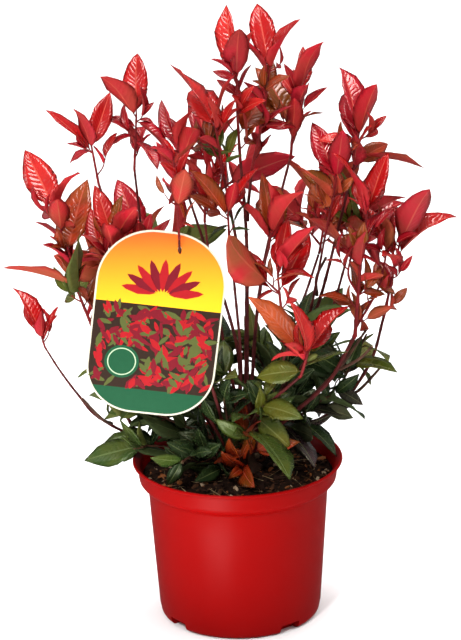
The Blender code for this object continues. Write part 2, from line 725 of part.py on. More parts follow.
def grow_twigs(name, stem, shoots, limbs):
    """Shoots of one mass: the first off its stem or the crown, the rest off the first."""
    twigs = []
    for share, points, leaves in shoots:
        if twigs:
            start, end = 1.15, 0.85
            run = limbs.from_shoot(points, start, end, twigs[0].run, share, name)
        elif stem == "trunk":
            start, end = 1.7, 0.9
            run = limbs.from_crown(points, start, end, TWIG_STEP, TWIG_SIDES, True)
        else:
            start, end = limbs.known[stem][1], 0.9
            run = limbs.from_tip(points, end, stem)
        if run is None:
            print("no room for a shoot of", name)
            if not twigs:
                break
            continue
        bm = sweep(run, start, end, TWIG_SIDES)
        limbs.add(name, BVHTree.FromBMesh(bm))
        bm.free()
        twigs.append(Twig(run, start, end, leaves))
    return twigs


def grow_leaves(name, twigs, limbs, rng):
    """Leaves of one mass: the plan's, a few set behind them, and the rule's where it has none."""
    leaves = []
    blades = []
    for twig in twigs:
        rows = twig.leaves
        wanted = [planned_leaf(twig.run, row, k, len(rows), rng)
                  for k, row in enumerate(rows) if row[0]]
        wanted += [partner_leaf(leaf, rng) for leaf in wanted[::PARTNERS]]
        if not rows:
            count = max(4, round(length_of(twig.run) / RULE_STEP))
            wanted = [rule_leaf(twig.run, 0.2 + 0.8 * (k + 1) / count, k, rng)
                      for k in range(count)]
        for leaf in wanted:
            leaf = fitted(leaf, limbs, name, blades)
            if leaf:
                leaves.append(leaf)
                blades.append(blade_tree(leaf))
    return leaves


def largest_body(bm):
    """Keep the main closed body of a mesh: loose scraps and sealed hollows go."""
    left = set(bm.faces)
    bodies = []
    while left:
        body = []
        queue = [left.pop()]
        while queue:
            face = queue.pop()
            body.append(face)
            for edge in face.edges:
                for other in edge.link_faces:
                    if other in left:
                        left.remove(other)
                        queue.append(other)
        bodies.append(body)
    bodies.sort(key=len, reverse=True)
    for body in bodies[1:]:
        bmesh.ops.delete(bm, geom=body, context="FACES")
    loose = [point for point in bm.verts if not point.link_faces]
    bmesh.ops.delete(bm, geom=loose, context="VERTS")


def sound(mesh):
    """Whether every edge of a mesh has two faces, also where its points nearly meet."""
    bm = bmesh.new()
    bm.from_mesh(mesh)
    bmesh.ops.remove_doubles(bm, verts=bm.verts, dist=0.0000003)
    fine = all(len(edge.link_faces) == 2 for edge in bm.edges)
    bm.free()
    return fine


def cleaned(item):
    """Clean the mesh that a union left, with as wide a weld as keeps it sound."""
    raw = item.data
    for weld in (0.000005, 0.000001, 0.0):
        bm = bmesh.new()
        bm.from_mesh(raw)
        largest_body(bm)
        if weld:
            bmesh.ops.remove_doubles(bm, verts=bm.verts, dist=weld)
            bmesh.ops.dissolve_degenerate(bm, edges=bm.edges, dist=weld)
        bmesh.ops.dissolve_limit(bm, angle_limit=0.003, verts=bm.verts, edges=bm.edges)
        bmesh.ops.triangulate(bm, faces=bm.faces)
        largest_body(bm)
        item.data = bpy.data.meshes.new(item.name)
        bm.to_mesh(item.data)
        bm.free()
        if sound(item.data):
            return True
    return False


def joined(name, twigs, leaves, home):
    """One solid of a mass's twigs and leaves, by one Boolean union on a collection."""
    pieces = collection("pieces")
    for twig in twigs:
        place("twig", sweep(twig.run, twig.start, twig.end, TWIG_SIDES), pieces)
    for leaf in leaves:
        points, faces = leaf_solid(leaf)
        bm = bmesh.new()
        corners = [bm.verts.new(point) for point in points]
        for face in faces:
            bm.faces.new([corners[k] for k in face])
        bmesh.ops.recalc_face_normals(bm, faces=bm.faces)
        place("leaf", bm, pieces)
    base = pieces.objects[0]
    pieces.objects.unlink(base)
    home.objects.link(base)
    base.name = name
    cut(base, pieces, "UNION", "MANIFOLD")
    for item in list(pieces.objects):
        bpy.data.objects.remove(item, do_unlink=True)
    bpy.data.collections.remove(pieces)
    return base


def joined_soundly(name, twigs, leaves, home):
    """The mass with all its leaves or, where they meet edge to edge, with one leaf fewer."""
    item = joined(name, twigs, leaves, home)
    for k in reversed(range(len(leaves))):
        if cleaned(item):
            break
        bpy.data.objects.remove(item, do_unlink=True)
        item = joined(name, twigs, leaves[:k] + leaves[k + 1:], home)
    return item


def make_card(home, cutters, mat, stem):
    """Card with an arched top, slotted round the stem that it hangs on."""
    bm = bmesh.new()
    bmesh.ops.create_cube(bm, size=1.0, matrix=Matrix.Diagonal((CARD_W, CARD_T, CARD_H, 1.0)))
    for top, radius in ((True, CARD_W * CARD_ARCH), (False, CARD_CORNER)):
        corners = [edge for edge in bm.edges
                   if abs(edge.verts[0].co.y - edge.verts[1].co.y) > CARD_T * 0.5
                   and abs(abs(edge.verts[0].co.x) - CARD_W / 2) < 0.01
                   and abs(abs(edge.verts[0].co.z) - CARD_H / 2) < 0.01
                   and (edge.verts[0].co.z > 0.0) == top]
        bmesh.ops.bevel(bm, geom=corners, offset=radius, segments=8, affect="EDGES",
                        profile=0.5, material=-1)
    tilt = Matrix.Rotation(math.radians(CARD_TILT), 4, "Y")
    bm.transform(Matrix.Translation(CARD_AT) @ tilt)
    card = place("label_card", bm, home, mat)
    run, start, end = stem
    slot = place("slot", sweep(run, start + SLOT_ROOM, end + SLOT_ROOM, 12), cutters)
    cut(card, slot, "DIFFERENCE")
    hide_cutter(slot)
    return card


def make_crown(home, limbs, mat):
    """Root crown: a short flared stump with a flat foot on the soil."""
    heights = [0.0, 2.0, 5.0, 9.0, 14.0, 20.0, CROWN_H - 3.0, CROWN_H]
    spots = [crown_axis(height) for height in heights]
    radii = [crown_radius(height) for height in heights[:-1]] + [CROWN_R * 0.5]
    item = place("trunk", sweep_rings(spots, radii, CROWN_SIDES), home, mat)
    limbs.keep("trunk", spots, CROWN_R, tree_of(item))


def make_stems(home, limbs, mat):
    for name, parent, start, end, points in STEMS:
        if parent == "trunk":
            run = limbs.from_crown(points, start, end, STEM_STEP, STEM_SIDES, False)
        else:
            run = limbs.from_limb(points, start, end, STEM_STEP, STEM_SIDES, parent)
        item = place("stem_" + name, sweep(run, start, end, STEM_SIDES), home, mat)
        limbs.keep(name, run, end, tree_of(item))


def make_masses(home, limbs, tints):
    """All twigs first, so that no leaf takes the room of a later shoot, then mass by mass."""
    twigs = {name: grow_twigs("leaves_" + name, stem, shoots, limbs)
             for name, stem, shoots in MASSES}
    for name, _, _ in MASSES:
        node = "leaves_" + name
        leaves = grow_leaves(node, twigs[name], limbs, random.Random(f"{name} {SEED}"))
        commonest = max(sorted(tints), key=lambda key: sum(leaf.tint == key for leaf in leaves))
        item = joined_soundly(node, twigs[name], leaves, home)
        item.data.materials.clear()
        item.data.materials.append(tints[commonest])
        limbs.add(node, tree_of(item))
        print(node, "leaves", len(leaves), "triangles", len(item.data.polygons))


def main():
    clear_scene()
    home = collection("potted_photinia")
    cutters = collection("cutters")
    red_plastic = material("pot_plastic", (0.402, 0.003, 0.003), 0.38)
    earth = material("bark_soil", (0.022, 0.013, 0.009), 0.95)
    bark = material("stem_bark", (0.066, 0.017, 0.014), 0.62)
    card_stock = material("card_stock", (0.72, 0.36, 0.05), 0.45)
    tints = {
        "s": material("scarlet_leaf", (0.50, 0.011, 0.010), 0.32),
        "c": material("crimson_leaf", (0.30, 0.008, 0.013), 0.34),
        "k": material("coral_leaf", (0.55, 0.055, 0.040), 0.36),
        "b": material("bronze_leaf", (0.24, 0.036, 0.014), 0.42),
        "o": material("orange_leaf", (0.56, 0.085, 0.025), 0.38),
        "v": material("olive_leaf", (0.15, 0.13, 0.02), 0.44),
        "g": material("green_leaf", (0.055, 0.10, 0.022), 0.46),
        "d": material("dark_leaf", (0.018, 0.035, 0.014), 0.48),
        "p": material("purple_leaf", (0.06, 0.032, 0.04), 0.48),
    }
    limbs = Limbs()
    limbs.add("pot", tree_of(make_pot(home, cutters, red_plastic)))
    limbs.add("soil", tree_of(make_soil(home, cutters, earth)))
    make_crown(home, limbs, bark)
    make_stems(home, limbs, bark)
    run, end, _ = limbs.known["over_label"]
    start = next(row[2] for row in STEMS if row[0] == "over_label")
    card = make_card(home, cutters, card_stock, (run, start, end))
    limbs.add("label_card", tree_of(card))
    make_masses(home, limbs, tints)
    total = sum(len(face.vertices) - 2 for item in home.objects for face in item.data.polygons)
    print("triangles in all", total)


main()
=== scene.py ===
"""Looks of the potted red tip photinia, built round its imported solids.

The shoots grow by the part's own plan and rule, written again here, and carry finer leaves, twigs
and bark. Lengths are in millimetres, as in that plan; every mesh is scaled to metres as it is made.
"""

import math
import random
from collections import namedtuple
from itertools import product

import bmesh
import bpy
from mathutils import Matrix, Vector, noise
from mathutils.bvhtree import BVHTree


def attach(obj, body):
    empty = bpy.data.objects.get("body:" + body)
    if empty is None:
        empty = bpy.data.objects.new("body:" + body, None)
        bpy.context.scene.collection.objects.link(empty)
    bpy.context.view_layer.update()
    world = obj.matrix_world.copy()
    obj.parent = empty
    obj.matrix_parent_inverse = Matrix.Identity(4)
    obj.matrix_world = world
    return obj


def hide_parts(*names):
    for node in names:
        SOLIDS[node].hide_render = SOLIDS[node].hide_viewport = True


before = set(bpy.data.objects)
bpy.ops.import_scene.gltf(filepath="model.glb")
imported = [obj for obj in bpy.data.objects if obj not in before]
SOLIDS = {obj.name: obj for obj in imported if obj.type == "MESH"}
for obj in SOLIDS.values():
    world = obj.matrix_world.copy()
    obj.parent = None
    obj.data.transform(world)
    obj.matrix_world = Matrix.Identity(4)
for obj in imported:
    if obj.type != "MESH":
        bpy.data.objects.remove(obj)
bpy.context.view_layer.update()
MM = 0.001

# Camera: its height over the horizon and its roll in degrees, its aim and distance
CAMERA_AIM = (-3.7, 0.0, 280.0)
CAMERA_DISTANCE = 2762.6
CAMERA_HEIGHT = 19.02
CAMERA_ROLL = -1.224
CAMERA_LENS = 174.2

# The part's driving sizes and the numbers of its rule, as in its source: pot, soil, root crown
GAP = 0.3
SEED = 41
RIM_R = 95.0
POT_H = 149.0
BODY_TOP_R = 81.2
BODY_TOP = 125.6
BASE_R = 70.5
NOTCHES = 4
NOTCH_TURN = 38.0
NOTCH_W = 18.0
NOTCH_H = 5.5
SOIL_EDGE = 134.0
SOIL_TOP = 138.0
CROWN_AT = (5.0, 1.0)
CROWN_R = 12.0
CROWN_H = 26.0

# Limbs: sides, steps and room, then what the rule tries in turn to find them a free place
STEM_SIDES = 5
STEM_STEP = 38.0
TWIG_SIDES = 3
TWIG_STEP = 30.0
LIMB_ROOM = 0.35
FOOT_SHIFTS = (5.0, 10.0, 16.0)
FOOT_TURNS = (14, 28, 44, 62, 84)
HIGH_FEET = (19.0, 12.5, 24.0, 6.5)
LOW_FEET = (6.0, 12.0, 18.0, 23.0)
LIMB_BOWS = (4, 8, 12, 18)
TIP_BOWS = (4, 8, 13)
SHOOT_BOWS = (5, 10, 15, 21)
CROWN_SHOOT_R = (1.7, 0.9)
TIP_SHOOT_END = 0.9
SIDE_SHOOT_R = (1.15, 0.85)

# Leaves: the leans tried in turn, width against length, thickness, then how the rule sets them
LEAF_LEANS = (9, 18, 27, 38)
LEAF_W = 0.38
LEAF_T = 1.3
LEAF_FOLD = 0.22
LEAF_WIDEST = 0.47
LEAF_RIDGE = 0.38
BLADE_FROM = 0.3
LEAF_ROOM = 0.36
ROOT_SINK = 1.8
LONGEST = 88.0
TIP_LEAVES = 3
TIP_STEP = 3.0
SEEN_FROM = 19.0
LEANS = (-20.0, 38.0, 14.0, -14.0, 46.0, -32.0)
PARTNERS = 8
RULE_STEP = 17.0
GOLDEN_ANGLE = 137.5
TINTS_FROM = 190.0
TINTS_RISE = 260.0
TINTS_BY_HEIGHT = ((0.12, "d"), (0.26, "g"), (0.40, "v"), (0.56, "b"), (0.8, "c"))

# Card: its middle, size and tilt in degrees, its arch against its width, the slot's room
CARD_AT = (-68.0, -80.0, 306.0)
CARD_W = 112.0
CARD_H = 168.0
CARD_T = 0.8
CARD_TILT = 8.0
CARD_ARCH = 0.44
CARD_CORNER = 42.0
SLOT_ROOM = 0.55

# Finer leaf: where its columns and rows stand, and what its blade and stalk measure
COLUMNS = (-1.0, -0.52, -0.055, 0.055, 0.52, 1.0)
ROWS = (0.0, 0.07, 0.2, 0.37, 0.56, 0.74, 0.89, 1.0)
STALK_SHARE = 0.1
STALK_R = 0.75
BLADE_T = 0.45
RIB_T = 0.9
BLADE_POWERS = (0.76, 1.14)
BLADE_PEAK = 0.2775
BLADE_FOOT = 0.06
MARGIN_WAVES = 9.0
WAVE_LAG = 1.3
FOLD_SPREAD = (0.5, 1.6)
CURL_SPREAD = (0.2, 1.6)
TWIST_SPREAD = (-0.5, 0.5)

# Leaf forms: fold of each half in degrees, its easing to the tip, cup and waves of the margin,
# extra curl of the tip in degrees and width against the plan's
Form = namedtuple("Form", "fold ease cup wave curl width")
YOUNG = Form(36.0, 0.35, -0.12, 0.07, 26.0, 1.08)
GROWN = Form(24.0, 0.45, -0.08, 0.06, 20.0, 1.14)
OLD = Form(17.0, 0.3, -0.12, 0.07, 16.0, 1.18)
FORMS = {"s": YOUNG, "c": YOUNG, "k": YOUNG, "b": GROWN, "o": GROWN, "v": OLD, "g": OLD,
         "d": OLD, "p": OLD}

# Bark: sides and steps of the finer limbs, spacing and swell of their leaf scars
STEM_ROUND = 10
STEM_FINE = 0.84
TWIG_ROUND = 7
STALK_ROUND = 5
BARK_STEP = 3.2
SCAR_EVERY = 5
SCAR_SWELL = 0.16
BARK_LUMPS = 0.07
LUMP_SIZE = 7.0

# Pot and soil: sides of their round, radius and rings of the soil's top, and how far out it's
# crumbly and dressed. Chips and dry fibres: how many, their lengths, and the share of chips up to
# each kind
POT_ROUND = 144
SOIL_ROUND = 120
SOIL_R = 86.1
SOIL_RINGS = 34
CRUMBLY_R = 85.0
DRESSED_R = 83.0
CHIPS = 1300
SMALL_SHARE = 0.8
SMALL_CHIP = (2.0, 6.5)
LARGE_CHIP = (6.0, 11.0)
CHIP_KINDS = {"dark_chip": 0.6, "brown_chip": 0.84, "rust_chip": 0.94, "pale_chip": 1.0}
STRAWS = 120
STRAW_EDGE = 78.0
STRAW_LENGTH = (6.0, 21.0)
STRAW_R = (0.16, 0.36)

# Print of the card: its margin and thickness, heights of its fields over the card's middle, its
# badge, its strewn leaves, and the fan of leaves on the sunny field
CARD_EDGE = 1.6
PRINT_T = 0.06
SUNNY_FOOT = 16.0
GREEN_TOP = -62.0
BADGE_AT = (-26.0, -38.0)
BADGE_R = 15.0
CARD_LEAVES = 330
CARD_LEAF_L = (9.0, 17.0)
CARD_LEAF_W = (3.4, 6.0)
FAN_LEAVES = 9
FAN_STEP = 0.36
FAN_AT = (2.0, 27.0)
FAN_REACH = (21.0, 17.0)
FAN_LEAF = (30.0, 8.5)

# Finer growth: spacing of the sprigs on a twig, their length, the leaves they carry, how far these
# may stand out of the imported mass, and the sprigs' radii
SPRIG_STEP = 16.0
GREEN_SPRIG_STEP = 10.0
SPRIG_LENGTH = (7.0, 17.0)
SPRIG_LEAVES = 3
SPRIG_LEAF = (17.0, 34.0)
GREEN_SPRIG_LEAF = (24.0, 50.0)
SPRIG_ROOM = 3.0
SPRIG_R = (0.75, 0.45)

# Cut twigs: the stem that each grows on, the place on it, then its bend and its cut end
STUBS = (
    ("right_mid", ((60.0, -16.0, 204.0), (94.0, -6.0, 236.0), (117.0, -6.0, 270.0))),
    ("right_mid", ((88.0, -20.0, 236.0), (110.0, -26.0, 250.0), (121.0, -28.0, 262.0))),
    ("right_out", ((96.0, 14.0, 194.0), (114.0, 12.0, 209.0), (131.0, 10.0, 229.0))),
    ("low_shoot", ((-104.0, 0.0, 172.0), (-122.0, 2.0, 188.0), (-139.0, 4.0, 207.0))),
    ("right_high", ((60.0, 10.0, 290.0), (74.0, 18.0, 312.0), (83.0, 22.0, 330.0))),
)
STUB_R = (1.5, 1.2)

# Studio: world light, half the floor's side, then each light's name, place, aim, size in metres
# and power in watts. The overhead light and the floor make no mirror images, which would veil
# the reds.
WORLD_LIGHT = 0.22
FLOOR_HALF = 9.0
LIGHTS = (
    ("overhead", (0.0, 0.3, 4.2), (0.0, 0.3, 0.0), (14.0, 14.0), 830.0),
    ("window", (0.2, 0.5, 2.6), (0.0, 0.0, 0.3), (1.3, 1.0), 52.0),
    ("key", (-0.9, -2.2, 2.1), (0.0, 0.0, 0.3), (0.4, 0.4), 48.0),
    ("table_strip", (-0.12, -0.40, 0.012), (-0.12, -0.39, 0.5), (0.15, 0.44), 2.3),
    ("left_strip", (-2.0, 0.5, 0.7), (0.0, 0.0, 0.2), (0.4, 1.6), 9.0),
    ("right_strip", (2.0, 0.5, 0.7), (0.0, 0.0, 0.2), (0.4, 1.6), 4.0),
)

# Leaf colours: name, then the plain and the flushed colour of the upper face
TINTS = {
    "s": ("scarlet", (0.40, 0.003, 0.004), (0.27, 0.004, 0.004)),
    "c": ("crimson", (0.37, 0.003, 0.012), (0.20, 0.003, 0.007)),
    "k": ("coral", (0.50, 0.016, 0.013), (0.33, 0.006, 0.006)),
    "b": ("bronze", (0.33, 0.024, 0.006), (0.17, 0.050, 0.006)),
    "o": ("orange", (0.50, 0.085, 0.022), (0.34, 0.060, 0.014)),
    "v": ("olive", (0.100, 0.088, 0.010), (0.050, 0.070, 0.008)),
    "g": ("green", (0.024, 0.052, 0.010), (0.058, 0.075, 0.012)),
    "d": ("dark", (0.009, 0.020, 0.007), (0.020, 0.034, 0.010)),
    "p": ("purple", (0.050, 0.024, 0.030), (0.026, 0.030, 0.018)),
}

# Leaf looks: gloss and tint of the shine, depth of the veins, roughness, relief in millimetres,
# and what the plain and flushed lower face and the rib are moved towards
Look = namedtuple("Look", "specular sheen depth gloss relief under_plain under_flush rib")
YOUNG_LOOK = Look(0.8, (1.0, 0.74, 0.70), 0.8, (0.12, 0.28), 0.34, ((0.52, 0.014, 0.040), 0.45),
                  ((0.42, 0.09, 0.06), 0.3), (0.62, 0.18, 0.10))
OLD_LOOK = Look(0.45, (0.9, 1.0, 0.62), 0.6, (0.18, 0.34), 0.2, ((0.12, 0.15, 0.055), 0.35),
                ((0.12, 0.15, 0.055), 0.2), (0.30, 0.36, 0.12))

# Barks: dark and light colour, then roughness
BARKS = {
    "stem_bark": ((0.050, 0.007, 0.009), (0.125, 0.018, 0.016), 0.5),
    "cut_twig_bark": ((0.045, 0.020, 0.014), (0.10, 0.045, 0.028), 0.6),
    "cut_wood": ((0.34, 0.19, 0.10), (0.46, 0.30, 0.18), 0.7),
    "young_bark": ((0.11, 0.008, 0.010), (0.22, 0.014, 0.014), 0.42),
    "older_bark": ((0.050, 0.016, 0.012), (0.085, 0.035, 0.018), 0.55),
    "green_stalk": ((0.10, 0.045, 0.02), (0.09, 0.10, 0.03), 0.5),
    "crown_bark": ((0.030, 0.014, 0.010), (0.085, 0.045, 0.028), 0.75),
}

# Soil, chips and fibres: dark and light colour, roughness, fineness and relief in millimetres
EARTHS = {
    "bark_soil": ((0.006, 0.003, 0.002), (0.022, 0.011, 0.007), 0.9, 160.0, 0.5),
    "dark_chip": ((0.010, 0.005, 0.004), (0.030, 0.014, 0.009), 0.8, 160.0, 0.5),
    "brown_chip": ((0.038, 0.016, 0.008), (0.080, 0.034, 0.017), 0.8, 160.0, 0.5),
    "rust_chip": ((0.20, 0.060, 0.018), (0.30, 0.11, 0.04), 0.75, 160.0, 0.5),
    "pale_chip": ((0.26, 0.17, 0.10), (0.46, 0.33, 0.22), 0.75, 160.0, 0.5),
    "straw": ((0.20, 0.13, 0.065), (0.36, 0.26, 0.14), 0.7, 300.0, 0.1),
    "dark_straw": ((0.10, 0.05, 0.025), (0.18, 0.11, 0.05), 0.7, 300.0, 0.1),
}

# Card and its print, in the order of its slots: one colour, or the lower and the upper one
INKS = {
    "card_stock": ((0.62, 0.58, 0.46),),
    "card_sunny": ((0.88, 0.45, 0.014), (0.78, 0.085, 0.016)),
    "card_leafy": ((0.030, 0.016, 0.010),),
    "card_green": ((0.012, 0.080, 0.034),),
    "card_scarlet": ((0.36, 0.010, 0.014),),
    "card_crimson": ((0.17, 0.008, 0.016),),
    "card_leaf": ((0.085, 0.100, 0.025),),
    "card_pale": ((0.42, 0.55, 0.36),),
}

# Pot: its red, and where that is a little deeper
POT_REDS = ((0.245, 0.0008, 0.0008), (0.215, 0.0007, 0.0007))

# Stems: name, what it grows from, radius at foot and tip, points that it passes through
STEMS = [
    ("top_middle", "trunk", 3.2, 1.5, [(10, -2, 205), (12, -8, 355), (8, -5, 427)]),
    ("top_right", "top_middle", 1.9, 1.4, [(11, -8, 348), (14, -2, 387), (18, 6, 417)]),
    ("top_left", "top_middle", 1.9, 1.3, [(11, -8, 311), (3, -12, 358), (-7, -20, 420)]),
    ("upper_left", "trunk", 2.2, 1.3, [(2, -20, 259), (-26, -32, 365), (-40, -35, 414)]),
    ("over_label", "trunk", 2.0, 1.1,
     [(-18, -48, 222), (-34, -62, 293), (-43, -66, 340), (-46, -80, 372), (-46, -88, 384)]),
    ("left_high", "trunk", 2.2, 1.2, [(-41, 2, 214), (-72, -15, 296), (-84, -30, 428)]),
    ("left_mid", "trunk", 2.1, 1.2, [(-33, -14, 205), (-73, -35, 301), (-114, -45, 419)]),
    ("low_shoot", "trunk", 2.2, 1.0,
     [(-38, 30, 158), (-85, 43, 152), (-125, 32, 177), (-158, 7, 233), (-169, 2, 255)]),
    ("left_out", "low_shoot", 2.0, 1.5,
     [(-85, 43, 152), (-92, 38, 160), (-107, 4, 208), (-126, -24, 284)]),
    ("left_inner", "trunk", 1.9, 1.2, [(-28, -34, 208), (-62, -46, 274), (-89, -52, 332)]),
    ("right_top", "trunk", 2.3, 1.4, [(14, 4, 202), (25, 10, 318), (52, 20, 423)]),
    ("middle_back", "right_top", 1.5, 1.2, [(18, 6, 292), (27, -14, 334), (31, -22, 352)]),
    ("right_high", "trunk", 2.4, 1.4, [(44, 12, 213), (75, 18, 286), (105, 14, 405)]),
    ("right_inner", "right_high", 1.7, 1.2, [(58, 14, 245), (69, 6, 290), (81, -2, 355)]),
    ("right_mid", "trunk", 2.5, 2.0, [(57, -16, 201), (84, -20, 229), (105, -22, 268)]),
    ("right_out", "trunk", 2.5, 1.5, [(48, 14, 161), (98, 14, 196), (122, 8, 236), (133, 5, 277)]),
    ("front_low", "trunk", 2.0, 1.5, [(13, -34, 193), (41, -66, 236), (55, -76, 252)]),
    ("middle_left", "trunk", 2.0, 1.3, [(4, -22, 231), (2, -36, 302), (-3, -45, 366)]),
    ("middle_low", "trunk", 2.0, 1.4, [(28, -30, 224), (47, -44, 271), (42, -48, 299)]),
    ("rear_left", "trunk", 1.9, 1.3, [(-34, 34, 205), (-62, 60, 254), (-74, 72, 286)]),
    ("rear_middle", "trunk", 2.0, 1.3, [(-8, 46, 230), (-20, 70, 296), (-25, 80, 346)]),
    ("rear_right", "trunk", 2.0, 1.3, [(36, 42, 220), (64, 70, 276), (78, 80, 314)]),
    ("rear_side", "trunk", 1.9, 1.3, [(50, 44, 200), (88, 66, 262), (104, 76, 312)]),
]

